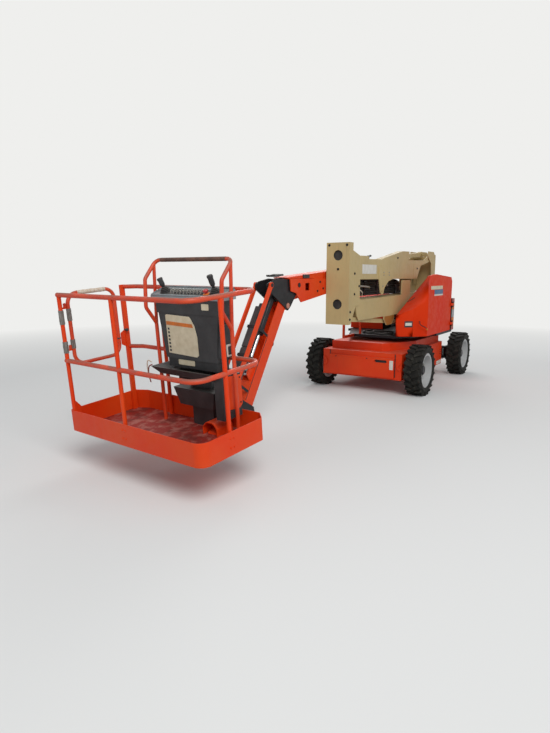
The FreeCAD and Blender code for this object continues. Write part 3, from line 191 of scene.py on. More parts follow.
class Pattern:
    """Shader patterns on Object coordinates, sized in millimetres."""

    def __init__(self, tree: bpy.types.NodeTree) -> None:
        """Start with the tree's coordinates."""
        self.tree = tree
        self.coords = add_node(tree, "ShaderNodeTexCoord").outputs["Object"]

    def noise(self, size: float, detail: float, rough: float = 0.55,
              stretch: Point = (1.0, 1.0, 1.0)) -> Socket:
        """Cloudy pattern.

        Args:
            size: size of a patch in millimetres.
            detail: octaves.
            rough: share of each finer octave.
            stretch: how many times longer a patch is along each axis.

        Returns:
            A value about 0.5.
        """
        scale = [1 / s for s in stretch]
        place = add_node(self.tree, "ShaderNodeMapping", {"Vector": self.coords, "Scale": scale})
        node = add_node(self.tree, "ShaderNodeTexNoise",
                        {"Vector": place.outputs["Vector"], "Scale": 1000 / size,
                         "Detail": detail, "Roughness": rough})
        return node.outputs["Fac"]

    def cells(self, size: float) -> Socket:
        """Distance to the nearest of scattered points, about one cell of this size each."""
        node = add_node(self.tree, "ShaderNodeTexVoronoi",
                        {"Vector": self.coords, "Scale": 1000 / size})
        return node.outputs["Distance"]

    def step(self, value: Socket, low: float, high: float, start: float = 0.0,
             end: float = 1.0) -> Socket:
        """Stretch the part of a value between low and high to start and end, clamped."""
        node = add_node(self.tree, "ShaderNodeMapRange",
                        {"Value": value, "From Min": low, "From Max": high, "To Min": start,
                         "To Max": end})
        return node.outputs["Result"]

    def cloud(self, size: float, detail: float, low: float, high: float, start: float = 0.0,
              end: float = 1.0, **kind: Any) -> Socket:
        """Step of a cloudy pattern, with noise's own words after step's."""
        return self.step(self.noise(size, detail, **kind), low, high, start, end)

    def join(self, a: Any, b: Any, kind: str = "MULTIPLY") -> Socket:
        """Product, or another sum, of two values, clamped to 0 and 1."""
        return add_node(self.tree, "ShaderNodeMath", {0: a, 1: b}, operation=kind,
                        use_clamp=True).outputs["Value"]

    def mix(self, share: Any, *colours: Any) -> Socket:
        """Colour between two, each a socket or hex digits."""
        a, b = (linear(colour) if isinstance(colour, str) else colour for colour in colours)
        return add_node(self.tree, "ShaderNodeMix", {0: share, 6: a, 7: b},
                        data_type="RGBA").outputs[2]

    def upward(self, low: float, high: float, end: float = 1.0) -> Socket:
        """Step of how far the surface faces up, from -1 to 1.

        Args:
            low: start of the step.
            high: end of the step.
            end: value at its end.

        Returns:
            A value from 0 to end.
        """
        normal = add_node(self.tree, "ShaderNodeNewGeometry").outputs["Normal"]
        parts = add_node(self.tree, "ShaderNodeSeparateXYZ", {"Vector": normal})
        return self.step(parts.outputs["Z"], low, high, 0.0, end)

    def bump(self, value: Socket, depth: float, strength: float) -> Socket:
        """Surface relief of a depth in millimetres."""
        node = add_node(self.tree, "ShaderNodeBump",
                        {"Height": value, "Distance": depth / 1000, "Strength": strength})
        return node.outputs["Normal"]


def start_material(name: str) -> tuple[bpy.types.Material, Pattern]:
    """Start an empty material.

    Args:
        name: name of the material.

    Returns:
        The material and its pattern maker.
    """
    material = bpy.data.materials.new(name)
    material.use_nodes = True
    material.node_tree.nodes.clear()
    return material, Pattern(material.node_tree)


@dataclass(frozen=True)
class Finish:
    """A surface: its name, its colour, the colour that age or dirt gives it, and its slot."""

    name: str
    colour: str
    aged: str
    slot: Slot

    def make(self) -> bpy.types.Material:
        """Build the material."""
        material, pattern = start_material(self.name)
        shader = add_node(pattern.tree, "ShaderNodeBsdfPrincipled", self.paint(pattern))
        add_node(pattern.tree, "ShaderNodeOutputMaterial", {"Surface": shader.outputs["BSDF"]})
        return material

    def paint(self, p: Pattern) -> dict[str, Any]:
        """Values and links of the Principled shader, which each finish gives itself.

        Args:
            p: pattern maker of the material.

        Returns:
            Values and links of the Principled shader.
        """
        raise NotImplementedError


@dataclass(frozen=True)
class WeatheredEnamel(Finish):
    """Sprayed enamel on steel: satin, sun faded, with chips, dust and run-down dirt.

    The fade is what the eye reads first, the chips and streaks show its working life.
    """

    under: str = "3A2A24"
    dirt: str = "5A4A3E"
    dust: str = "A39A8C"
    roughness: float = 0.42
    chips: float = 0.5
    streaks: float = 0.5
    dusty: float = 0.4
    shine: float = 0.3

    def paint(self, p: Pattern) -> dict[str, Any]:
        """Fade, streaks, settled dust, chips and orange peel.

        Args:
            p: pattern maker of the material.

        Returns:
            Values and links of the Principled shader.
        """
        colour = p.mix(p.cloud(420, 5, 0.35, 0.70), self.colour, self.aged)
        streak = p.join(p.cloud(30, 5, 0.52, 0.78, 0.0, self.streaks, rough=0.6,
                                stretch=(1.0, 1.0, 14.0)), p.cloud(190, 4, 0.42, 0.72))
        colour = p.mix(streak, colour, self.dirt)
        settled = p.join(p.upward(0.45, 1.0, self.dusty), p.cloud(75, 6, 0.30, 0.62))
        colour = p.mix(settled, colour, self.dust)
        chip = p.join(p.cloud(17, 6, 0.665, 0.70, 0.0, self.chips, rough=0.65),
                      p.cloud(260, 3, 0.50, 0.66))
        colour = p.mix(chip, colour, self.under)
        rough = p.join(p.cloud(60, 4, 0.3, 0.7, self.roughness - 0.08, self.roughness + 0.12),
                       p.join(settled, 0.5), "ADD")
        # Orange peel is about 2 mm; drawn at 6 mm so that it shows
        relief = p.join(p.noise(6, 2), p.join(chip, 0.6), "SUBTRACT")
        return {"Base Color": colour, "Roughness": rough, "IOR": 1.48,
                "Normal": p.bump(relief, 0.25, 0.35), "Specular IOR Level": self.shine}


@dataclass(frozen=True)
class WornRail(WeatheredEnamel):
    """Enamelled hand rail: rubbed to a dull pinkish primer where hands and gloves lie on it."""

    rubbed: str = "8C5A4C"

    def paint(self, p: Pattern) -> dict[str, Any]:
        """Fade, rubbed upper side and nicks.

        Args:
            p: pattern maker of the material.

        Returns:
            Values and links of the Principled shader.
        """
        colour = p.mix(p.cloud(300, 4, 0.35, 0.7), self.colour, self.aged)
        rub = p.join(p.upward(-0.1, 0.75), p.cloud(120, 5, 0.36, 0.58, 0.1, 0.9))
        colour = p.mix(rub, colour, self.rubbed)
        nick = p.join(p.cloud(14, 6, 0.62, 0.66, 0.0, 0.8, rough=0.65),
                      p.cloud(170, 3, 0.42, 0.6))
        colour = p.mix(nick, colour, self.under)
        rough = p.step(rub, 0.0, 1.0, self.roughness, self.roughness + 0.2)
        return {"Base Color": colour, "Roughness": rough, "IOR": 1.48,
                "Normal": p.bump(nick, 0.3, 0.4)}


@dataclass(frozen=True)
class TreadRubber(Finish):
    """Vulcanised tyre rubber: dull black, grey with dust, with dried mud between the lugs."""

    mud: str = "3C3A33"

    def paint(self, p: Pattern) -> dict[str, Any]:
        """Dust and patches of mud.

        Args:
            p: pattern maker of the material.

        Returns:
            Values and links of the Principled shader.
        """
        colour = p.mix(p.cloud(90, 6, 0.35, 0.7, 0.0, 0.75), self.colour, self.aged)
        mud = p.join(p.cloud(46, 6, 0.52, 0.62, rough=0.6), p.cloud(210, 3, 0.44, 0.62))
        # Rubber grain of about 1 mm, drawn at 5 mm
        return {"Base Color": p.mix(mud, colour, self.mud), "Roughness": 0.86, "IOR": 1.5,
                "Specular IOR Level": 0.3, "Normal": p.bump(p.noise(5, 3), 0.6, 0.5)}


@dataclass(frozen=True)
class MouldedPlastic(Finish):
    """Moulded polyethylene or ABS: even colour, fine spark-eroded grain and pale scuffs."""

    roughness: float = 0.55
    scuffs: float = 0.45
    dust: str = "8C867C"

    def paint(self, p: Pattern) -> dict[str, Any]:
        """Uneven tone, scuff marks and dust on what faces up.

        Args:
            p: pattern maker of the material.

        Returns:
            Values and links of the Principled shader.
        """
        colour = p.mix(p.cloud(120, 5, 0.3, 0.72, 0.0, 0.5), self.colour, self.aged)
        marks = p.join(p.cloud(12, 5, 0.62, 0.74, 0.0, self.scuffs, rough=0.6,
                               stretch=(6.0, 1.0, 1.0)), p.cloud(90, 3, 0.45, 0.62))
        colour = p.mix(marks, colour, self.aged)
        colour = p.mix(p.join(p.upward(0.5, 1.0, 0.35), p.noise(50, 5)), colour, self.dust)
        return {"Base Color": colour, "Roughness": self.roughness, "IOR": 1.5,
                "Normal": p.bump(p.cells(2.5), 0.12, 0.3)}


@dataclass(frozen=True)
class BareSteel(Finish):
    """Machined or plated steel: grey metal with a soft sheen, oil stains and light rust."""

    roughness: float = 0.38
    rusty: float = 0.5

    def paint(self, p: Pattern) -> dict[str, Any]:
        """Rust that takes away colour, shine and metal together.

        Args:
            p: pattern maker of the material.

        Returns:
            Values and links of the Principled shader.
        """
        rust = p.cloud(22, 6, 0.52, 0.66, 0.0, self.rusty)
        return {"Base Color": p.mix(rust, self.colour, self.aged),
                "Roughness": p.step(rust, 0.0, 1.0, self.roughness, 0.75),
                "Metallic": p.step(rust, 0.0, 1.0, 1.0, 0.2),
                "Normal": p.bump(p.noise(4, 3), 0.1, 0.4)}


@dataclass(frozen=True)
class HardChrome(Finish):
    """Ground and hard-chromed piston rod: mirror bright under a thin film of oil."""

    def paint(self, p: Pattern) -> dict[str, Any]:
        """Patches of oil.

        Args:
            p: pattern maker of the material.

        Returns:
            Values and links of the Principled shader.
        """
        film = p.cloud(40, 4, 0.45, 0.7, 0.0, 0.35)
        return {"Base Color": p.mix(film, self.colour, self.aged),
                "Roughness": p.step(film, 0.0, 0.35, 0.14, 0.3), "Metallic": 1.0}


@dataclass(frozen=True)
class BlankSheet(Finish):
    """Vinyl sheet with nothing printed on it but plain fields: matt, yellowed and rubbed."""

    roughness: float = 0.6
    rubbed: str = "6E6250"

    def paint(self, p: Pattern) -> dict[str, Any]:
        """Yellowing and faint rubbed spots.

        Args:
            p: pattern maker of the material.

        Returns:
            Values and links of the Principled shader.
        """
        colour = p.mix(p.cloud(55, 5, 0.35, 0.7), self.colour, self.aged)
        colour = p.mix(p.cloud(9, 5, 0.62, 0.76, 0.0, 0.1, rough=0.6), colour, self.rubbed)
        return {"Base Color": colour, "Roughness": self.roughness, "IOR": 1.46,
                "Normal": p.bump(p.noise(7, 3), 0.15, 0.3)}


@dataclass(frozen=True)
class ClothTape(Finish):
    """Cloth-backed adhesive tape wound by hand: dull, creased, with dirt in its creases."""

    def paint(self, p: Pattern) -> dict[str, Any]:
        """Creases and their dirt.

        Args:
            p: pattern maker of the material.

        Returns:
            Values and links of the Principled shader.
        """
        crease = p.noise(14, 6, 0.7, (1.0, 1.0, 3.0))
        dirty = p.step(crease, 0.4, 0.62, 0.75, 0.0)
        return {"Base Color": p.mix(dirty, self.colour, self.aged), "Roughness": 0.72,
                "IOR": 1.45, "Normal": p.bump(crease, 1.6, 0.8)}


@dataclass(frozen=True)
class WornFloor(Finish):
    """Steel floor sheet: dark red enamel walked through to pinkish primer in patches."""

    grit: str = "5A1A11"

    def paint(self, p: Pattern) -> dict[str, Any]:
        """Walked patches, dark patches and a coarse grain.

        Args:
            p: pattern maker of the material.

        Returns:
            Values and links of the Principled shader.
        """
        colour = p.mix(p.cloud(95, 5, 0.47, 0.60, 0.0, 0.8, rough=0.6), self.colour, self.aged)
        colour = p.mix(p.cloud(150, 5, 0.5, 0.66, 0.0, 0.8), colour, self.grit)
        return {"Base Color": colour, "Roughness": 0.7, "IOR": 1.46,
                "Normal": p.bump(p.cells(9), 0.5, 0.5)}


ORANGE = WeatheredEnamel("weathered orange enamel", "E23A08", "E24A16", Slot.ORANGE,
                         streaks=0.1, dusty=0.1, roughness=0.4)
# A darker copy of the orange enamel, as painted shade: for the chassis' front cover, its tie-down
# lugs and the turntable's post sleeves
SHADED_ORANGE = WeatheredEnamel("shaded orange enamel", "DC3608", "DE4412", Slot.ORANGE,
                              chips=0.55, streaks=0.2, dusty=0.2, roughness=0.44)
RAIL = WornRail("hand-rubbed orange enamel", "D4370F", "DA4E26", Slot.ORANGE)
HOOD = WeatheredEnamel("moulded hood gel coat", "DC2E04", "DC3A0C", Slot.ORANGE, chips=0.15,
                       streaks=0.04, dusty=0.12, roughness=0.5, shine=0.12)
CREAM = WeatheredEnamel("weathered cream enamel", "C0AA78", "B5A072", Slot.CREAM,
                        under="5B4632", dirt="7A6A4A", chips=0.6, streaks=0.45, dusty=0.25,
                        roughness=0.5)
BLACK = WeatheredEnamel("satin black enamel", "17171A", "242427", Slot.BLACK, under="4A3C30",
                        dirt="2E2A27", dust="58534C", chips=0.45, streaks=0.4, dusty=0.3)
RIM = WeatheredEnamel("pale rim enamel", "C6C7C8", "AFAFAD", Slot.RIM, under="6B5A4A",
                      dirt="7E786C", chips=0.35, streaks=0.35, dusty=0.2, roughness=0.5)
# Cream enamel darkened to orange-brown as painted shade, for the plate under the lower beam; its
# chips and streaks are wear
SHADED_CREAM_SHEET = WeatheredEnamel("cream enamel darkened as painted shade", "A06A2E", "8A5A2C", Slot.ORANGE,
                              chips=0.9, streaks=0.9)
DARK_PLASTIC = MouldedPlastic("moulded black polyethylene", "252628", "4A4B4C", Slot.PLASTIC)
PANEL_PLASTIC = MouldedPlastic("moulded grey ABS", "7B8488", "A3A8A8", Slot.GREY, 0.5, 0.6)
RED_PLASTIC = MouldedPlastic("moulded red nylon", "B0161A", "C8504A", Slot.PLASTIC, 0.4)
BATTERY_PLASTIC = MouldedPlastic("battery polypropylene", "2E3033", "55565A", Slot.BATTERY, 0.5)
RUBBER = MouldedPlastic("extruded hose rubber", "18181A", "4C4A46", Slot.PLASTIC, 0.7, 0.5)
SLEEVE = MouldedPlastic("rubbed grip sleeve", "3A2B26", "9A6A55", Slot.PLASTIC, 0.7, 0.8)
TYRE = TreadRubber("vulcanised tyre rubber", "141413", "302E29", Slot.TYRE)
STEEL = BareSteel("machined steel", "8A8885", "4B3A2E", Slot.STEEL)
ZINC = BareSteel("zinc plated steel", "A9A79F", "6B5336", Slot.STEEL, 0.42, 0.45)
CHROME = HardChrome("hard chromed rod", "C9CCCF", "7E7668", Slot.CHROME)
# Pale pink of the jib's pin caps: a painted highlight on the pin ends
HIGHLIT_PIN = BlankSheet("pin enamel with painted highlight", "C08A78", "A8604A", Slot.STEEL, 0.45)
BLUE_LABEL = BlankSheet("blue blank vinyl", "3D5F86", "5C7A96", Slot.CREAM)
LABEL = BlankSheet("yellowed blank vinyl", "D9CFB4", "C9BD9E", Slot.CREAM)
WHITE_LABEL = BlankSheet("white blank vinyl", "D9D6CD", "CFCABD", Slot.CREAM)
STRIPE = BlankSheet("orange vinyl", "D9772A", "B96A34", Slot.ORANGE)
RED_REFLECTIVE = BlankSheet("red reflective sheet", "A8302A", "8C3A2E", Slot.ORANGE, 0.35)
GREY_REFLECTIVE = BlankSheet("grey reflective sheet", "A5A6A8", "8B8784", Slot.ORANGE, 0.3)
GREY_TAPE = ClothTape("grey cloth tape", "8A8681", "5E544C", Slot.GREY)
PALE_TAPE = ClothTape("pale cloth tape", "D9CFC0", "B59A7E", Slot.GREY)
WEBBING = ClothTape("red webbing", "8C2A22", "5A2018", Slot.PLASTIC)
FLOOR = WornFloor("walked enamel floor", "8C1D10", "A9675A", Slot.ORANGE)

# Finish of the nodes whose names start so; the first that fits counts
NODE_FINISHES: tuple[tuple[Finish, str], ...] = (
    # The chassis' front cover takes the darker orange, which is painted shade
    (TYRE, "tyre_"), (RIM, "rim_"), (SHADED_ORANGE, "chassis front_cover"),
    (STEEL, "slew_ring tie_rod"), (BATTERY_PLASTIC, "batteries"), (HOOD, "hood_"),
    (CREAM, "lower_tower lower_link mid_upright upper_tower upper_link rear_upright"),
    (CHROME, "tower_lift_rod boom_lift_rod jib_lift_rod"),
    # The turntable takes the black enamel as painted shade: its plate shows only as a shadowed edge
    # under the hoods
    (BLACK, "drive_axle steer_axle knuckle_ turntable counterweight tower_lift_barrel "
            "boom_lift_barrel jib_lift_barrel level_bracket jib_support platform_mount"),
    (ORANGE, "main_boom fly_boom jib_beam jib_link platform_pan platform_posts foot_switch"),
    (RAIL, "platform_top_rail platform_mid_rail gate console_guard"),
    (PANEL_PLASTIC, "console_panel"), (DARK_PLASTIC, "console"),
)


def box(left: float, low: float, right: float, high: float) -> Outline:
    """Rectangle between two corners."""
    return [(left, low), (right, low), (right, high), (left, high)]


def rounded(width: float, height: float, radius: float, middle: tuple[float, float],
            steps: int = 3) -> Outline:
    """Rectangle with rounded corners.

    Args:
        width: full size along the first axis.
        height: full size along the second axis.
        radius: corner radius.
        middle: centre of the outline.
        steps: flats on each corner.

    Returns:
        Points in order.
    """
    points: Outline = []
    for number, (sx, sy) in enumerate(((1, 1), (-1, 1), (-1, -1), (1, -1))):
        cx = middle[0] + sx * (width / 2 - radius)
        cy = middle[1] + sy * (height / 2 - radius)
        for i in range(steps + 1):
            turn = math.radians(90 * number + 90 * i / steps)
            points.append((cx + radius * math.cos(turn), cy + radius * math.sin(turn)))
    return points


def smooth_line(points: Sequence[Vector], steps: int) -> list[Vector]:
    """Catmull-Rom curve.

    Args:
        points: points that it runs through.
        steps: flats between two of them.

    Returns:
        Points of the curve.
    """
    full = [points[0] * 2 - points[1], *points, points[-1] * 2 - points[-2]]
    line: list[Vector] = []
    for a, b, c, d in zip(full, full[1:], full[2:], full[3:]):
        for i in range(steps):
            t = i / steps
            line.append(0.5 * ((2 * b) + (c - a) * t + (2 * a - 5 * b + 4 * c - d) * t ** 2
                               + (3 * b - a - 3 * c + d) * t ** 3))
    line.append(points[-1])
    return line


def across(run: Vector) -> Vector:
    """A way square to this one, level unless this one is upright."""
    return run.cross(UP if abs(run.z) < 0.9 else LEFT).normalized()


@dataclass
class Form:
    """A piece's mesh while it is built, in machine coordinates. Each method returns the form."""

    name: str
    mesh: bmesh.types.BMesh = field(default_factory=bmesh.new)

    def _skin(self, rows: list[list[Any]]) -> "Form":
        """Join closed rows of vertices one after another, and close both ends.

        Args:
            rows: rows with the same number of vertices.

        Returns:
            This form.
        """
        for lower, upper in zip(rows, rows[1:]):
            for i, vertex in enumerate(lower):
                j = (i + 1) % len(lower)
                self.mesh.faces.new((vertex, upper[i], upper[j], lower[j]))
        self.mesh.faces.new(rows[0])
        self.mesh.faces.new(rows[-1][::-1])
        return self

    def _circle(self, centre: Vector, side: Vector, up: Vector, radius: float, count: int,
                flat: float = 1.0) -> list[Any]:
        """Row of vertices round a centre, with the radius in millimetres."""
        turns = [math.tau * k / count for k in range(count)]
        return [self.mesh.verts.new(centre + (side * math.cos(t) + up * math.sin(t) * flat)
                                    * radius / 1000) for t in turns]

    def prism(self, outline: Outline, low: float, high: float, place: Place) -> "Form":
        """Add a plate.

        Args:
            outline: points of its outline in order.
            low: start across the plate.
            high: end across the plate.
            place: gives the machine's point for outline and across values.

        Returns:
            This form.
        """
        return self._skin([[self.mesh.verts.new(place(a, b, c)) for a, b in outline]
                           for c in (low, high)])

    def tube(self, line: Sequence[Vector], radius: float, sides: int = 12,
             flat: float = 1.0) -> "Form":
        """Add a round bar along a line.

        Args:
            line: points of its middle line, in metres.
            radius: radius in millimetres.
            sides: flats around it.
            flat: height of the section over its width.

        Returns:
            This form.
        """
        side = None
        rows = []
        for i, point in enumerate(line):
            run = line[min(i + 1, len(line) - 1)] - line[max(i - 1, 0)]
            run.normalize()
            side = side or across(run)
            side = (side - run * side.dot(run)).normalized()
            rows.append(self._circle(point, side, run.cross(side), radius, sides, flat))
        return self._skin(rows)

    def hose(self, points: Iterable[Point], radius: float, sides: int = 12, steps: int = 5,
             flat: float = 1.0, place: Place = at) -> "Form":
        """Add a bar along a smooth curve.

        Args:
            points: points of the curve in millimetres, as place takes them.
            radius: radius in millimetres.
            sides: flats around it.
            steps: flats between two points.
            flat: height of the section over its width.
            place: gives the machine's point.

        Returns:
            This form.
        """
        return self.tube(smooth_line([place(*point) for point in points], steps), radius, sides,
                         flat)

    def turned(self, profile: Sequence[tuple[float, float]], start: Vector, axis: Vector,
               steps: int = 24) -> "Form":
        """Add a turned solid.

        Args:
            profile: (radius, along) pairs in millimetres, from one end to the other.
            start: zero of the axis, in metres.
            axis: direction of the axis.
            steps: flats around it.

        Returns:
            This form.
        """
        axis = axis.normalized()
        side = across(axis)
        return self._skin([self._circle(start + axis * distance / 1000, side, axis.cross(side),
                                        max(radius, 0.01), steps)
                           for radius, distance in profile])


@dataclass
class Fasteners:
    """Hexagon heads with washers, set by Geometry Nodes on points that face outwards."""

    flats: float = 18.0
    height: float = 8.0
    washer: float = 15.0
    tree: bpy.types.NodeTree | None = None

    def grow(self) -> bpy.types.NodeTree:
        """Build the tree: one head and washer on every point of the mesh."""
        tree = bpy.data.node_groups.new("hexagon heads", "GeometryNodeTree")
        for name, kind in (("Points", "Geometry"), ("Flats", "Float"), ("Height", "Float"),
                           ("Washer", "Float"), ("Finish", "Material")):
            tree.interface.new_socket(name, in_out="INPUT", socket_type="NodeSocket" + kind)
        tree.interface.new_socket("Heads", in_out="OUTPUT", socket_type="NodeSocketGeometry")
        given = add_node(tree, "NodeGroupInput").outputs
        radius = add_node(tree, "ShaderNodeMath", {0: given["Flats"], 1: math.sqrt(3)},
                          operation="DIVIDE").outputs["Value"]
        head = add_node(tree, "GeometryNodeMeshCylinder",
                        {"Vertices": 6, "Radius": radius, "Depth": given["Height"]})
        lift = add_node(tree, "ShaderNodeMath", {0: given["Height"], 1: 0.8},
                        operation="MULTIPLY").outputs["Value"]
        rise = add_node(tree, "ShaderNodeCombineXYZ", {"Z": lift})
        head = add_node(tree, "GeometryNodeTransform",
                        {"Geometry": head.outputs["Mesh"], "Translation": rise.outputs["Vector"]})
        disc = add_node(tree, "GeometryNodeMeshCylinder",
                        {"Vertices": 16, "Radius": given["Washer"], "Depth": 0.005})
        both = add_node(tree, "GeometryNodeJoinGeometry", {"Geometry": head.outputs["Geometry"]})
        tree.links.new(disc.outputs["Mesh"], both.inputs["Geometry"])
        facing = add_node(tree, "GeometryNodeInputNamedAttribute", {"Name": "facing"},
                          data_type="FLOAT_VECTOR")
        turn = add_node(tree, "FunctionNodeAlignRotationToVector",
                        {"Vector": facing.outputs["Attribute"]}, axis="Z")
        set_on = add_node(tree, "GeometryNodeInstanceOnPoints",
                          {"Points": given["Points"], "Instance": both.outputs["Geometry"],
                           "Rotation": turn.outputs["Rotation"]})
        real = add_node(tree, "GeometryNodeRealizeInstances",
                        {"Geometry": set_on.outputs["Instances"]})
        dressed = add_node(tree, "GeometryNodeSetMaterial",
                           {"Geometry": real.outputs["Geometry"], "Material": given["Finish"]})
        add_node(tree, "NodeGroupOutput", {"Heads": dressed.outputs["Geometry"]})
        return tree

    def heads(self, name: str, places: Sequence[tuple[Vector, Vector]], size: float,
              material: bpy.types.Material) -> bpy.types.Mesh:
        """Mesh with a head on each place.

        Args:
            name: name of the mesh.
            places: point and outward direction of each head, in metres.
            size: scale of this set's heads.
            material: material of the heads.

        Returns:
            The mesh.
        """
        self.tree = self.tree or self.grow()
        mesh = bpy.data.meshes.new(name)
        mesh.from_pydata([tuple(point) for point, _ in places], [], [])
        facing = mesh.attributes.new("facing", "FLOAT_VECTOR", "POINT")
        facing.data.foreach_set("vector", [c for _, out in places for c in out])
        carrier = add_object(name, mesh)
        modifier = carrier.modifiers.new("heads", "NODES")
        modifier.node_group = self.tree
        values = {"Flats": self.flats * size / 1000, "Height": self.height * size / 1000,
                  "Washer": self.washer * size / 1000, "Finish": material}
        for socket in self.tree.interface.items_tree:
            if socket.name in values:
                modifier[socket.identifier] = values[socket.name]
        made = bpy.data.meshes.new_from_object(
            carrier.evaluated_get(bpy.context.evaluated_depsgraph_get()))
        carrier.modifiers.remove(modifier)
        made.name = name
        bpy.data.objects.remove(carrier)
        return made


class Workshop:
    """Turns forms into finished pieces and keeps count of them."""

    def __init__(self) -> None:
        """Start with no material made."""
        self.materials: dict[str, bpy.types.Material] = {}
        self.fasteners = Fasteners()
        self.pieces = 0

    def material(self, finish: Finish) -> bpy.types.Material:
        """The finish's material, made once."""
        if finish.name not in self.materials:
            self.materials[finish.name] = finish.make()
        return self.materials[finish.name]

    def keep(self, form: Form, body: str, finish: Finish, bevel: float = 0.0,
             slot: Slot | None = None, replaces: Iterable[str] = ()) -> bpy.types.Object:
        """Finish a form as a piece of the machine.

        Args:
            form: the mesh and its name.
            body: CAD body that carries it.
            finish: finish of its surface.
            bevel: width of its rounded edges in millimetres.
            slot: material slot of the record, where it isn't the finish's own.
            replaces: CAD nodes that it stands for.

        Returns:
            The object.
        """
        bmesh.ops.remove_doubles(form.mesh, verts=form.mesh.verts, dist=SAME_CORNER)
        bmesh.ops.recalc_face_normals(form.mesh, faces=form.mesh.faces)
        mesh = bpy.data.meshes.new(form.name)
        form.mesh.to_mesh(mesh)
        form.mesh.free()
        piece = self.place(mesh, form.name, finish)
        if bevel:
            edge = piece.modifiers.new("rounded edges", "BEVEL")
            edge.width = bevel / 1000
            edge.segments = 2
            edge.limit_method = "ANGLE"
            edge.angle_limit = SMOOTH_UP_TO
        return self.fix(piece, body, slot or finish.slot, replaces)

    def place(self, mesh: bpy.types.Mesh, name: str, finish: Finish) -> bpy.types.Object:
        """Make the object of a mesh, shaded smooth up to the sharp angle.

        Args:
            mesh: the finished mesh.
            name: name of the piece.
            finish: its finish.

        Returns:
            The object.
        """
        mesh.materials.clear()
        mesh.materials.append(self.material(finish))
        for polygon in mesh.polygons:
            polygon.use_smooth = True
            polygon.material_index = 0
        mesh.set_sharp_from_angle(angle=SMOOTH_UP_TO)
        return add_object(name, mesh)

    def fix(self, piece: bpy.types.Object, body: str, slot: Slot,
            replaces: Iterable[str] = ()) -> bpy.types.Object:
        """Fix a piece to its body and report it.

        Args:
            piece: the object.
            body: CAD body that carries it.
            slot: material slot of the record; not used.
            replaces: CAD nodes that it stands for.

        Returns:
            The object.
        """
        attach(piece, body)
        if replaces:
            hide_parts(*replaces)
        self.pieces += 1
        LOG.info("piece %s on %s", piece.name, body)
        return piece

    def bolt(self, name: str, body: str, places: Sequence[tuple[Vector, Vector]], finish: Finish,
             size: float) -> None:
        """Keep a set of hexagon heads, as Fasteners makes it."""
        made = self.fasteners.heads(name, places, size, self.material(finish))
        self.fix(self.place(made, name, finish), body, finish.slot)


class Skin:
    """Surface of a CAD node, for thin sheets that lie on it, sunk in it by half a millimetre."""

    REACH = 0.25
    SUNK = 0.0005

    def __init__(self, node: str) -> None:
        """Take the node's mesh."""
        mesh = frame["nodes"][node].data
        self.tree = BVHTree.FromPolygons([vertex.co.copy() for vertex in mesh.vertices],
                                         [tuple(polygon.vertices) for polygon in mesh.polygons])

    def sheet(self, name: str, middle: Vector, out: Vector, size: tuple[float, float],
              thick: float, turn: float = 0.0, steps: int = 5) -> Form:
        """Rectangular sheet that follows the surface.

        Args:
            name: name of the piece.
            middle: point near the surface, in metres.
            out: the way that the sheet looks.
            size: width and height in millimetres.
            thick: thickness in millimetres.
            turn: turn about the outward way in degrees.
            steps: cells along each edge.

        Returns:
            Its form.
        """
        form = Form(name)
        out = out.normalized()
        right = Matrix.Rotation(math.radians(turn), 3, out) @ UP.cross(out).normalized()
        up = out.cross(right)
        low, high = [], []
        for j in range(steps + 1):
            for i in range(steps + 1):
                start = (middle + right * (i / steps - 0.5) * size[0] / 1000
                         + up * (j / steps - 0.5) * size[1] / 1000)
                hit, normal, _, _ = self.tree.ray_cast(start + out * self.REACH, -out)
                hit = hit or start
                normal = normal or out
                low.append(form.mesh.verts.new(hit - normal * self.SUNK))
                high.append(form.mesh.verts.new(hit + normal * thick / 1000))
        row = steps + 1
        for a in (j * row + i for j in range(steps) for i in range(steps)):
            quad = (a, a + 1, a + row + 1, a + row)
            form.mesh.faces.new([high[k] for k in quad])
            form.mesh.faces.new([low[k] for k in reversed(quad)])
        edge = ([(i, i + 1) for i in range(steps)]
                + [(j * row + steps, (j + 1) * row + steps) for j in range(steps)]
                + [(steps * row + i + 1, steps * row + i) for i in reversed(range(steps))]
                + [((j + 1) * row, j * row) for j in reversed(range(steps))])
        for a, b in edge:
            form.mesh.faces.new((low[a], low[b], high[b], high[a]))
        return form


@dataclass
class Assembly:
    """A sub-assembly: the workshop that finishes its pieces and the body that carries most."""

    shop: Workshop
    body: str = ""

    def keep(self, form: Form, finish: Finish, bevel: float = 0.0, body: str = "",
             slot: Slot | None = None) -> None:
        """Keep a form as a piece on the sub-assembly's own body, or on the one named."""
        self.shop.keep(form, body or self.body, finish, bevel, slot)

    def plate(self, name: str, finish: Finish, outline: Outline, span: tuple[float, float],
              place: Place, bevel: float = 0.0, body: str = "", slot: Slot | None = None) -> None:
        """Keep a plate, as Form.prism makes it."""
        self.keep(Form(name).prism(outline, *span, place), finish, bevel, body, slot)

    def bolt(self, name: str, places: Sequence[tuple[Vector, Vector]], finish: Finish,
             size: float, body: str = "") -> None:
        """Keep a set of hexagon heads."""
        self.shop.bolt(name, body or self.body, places, finish, size)


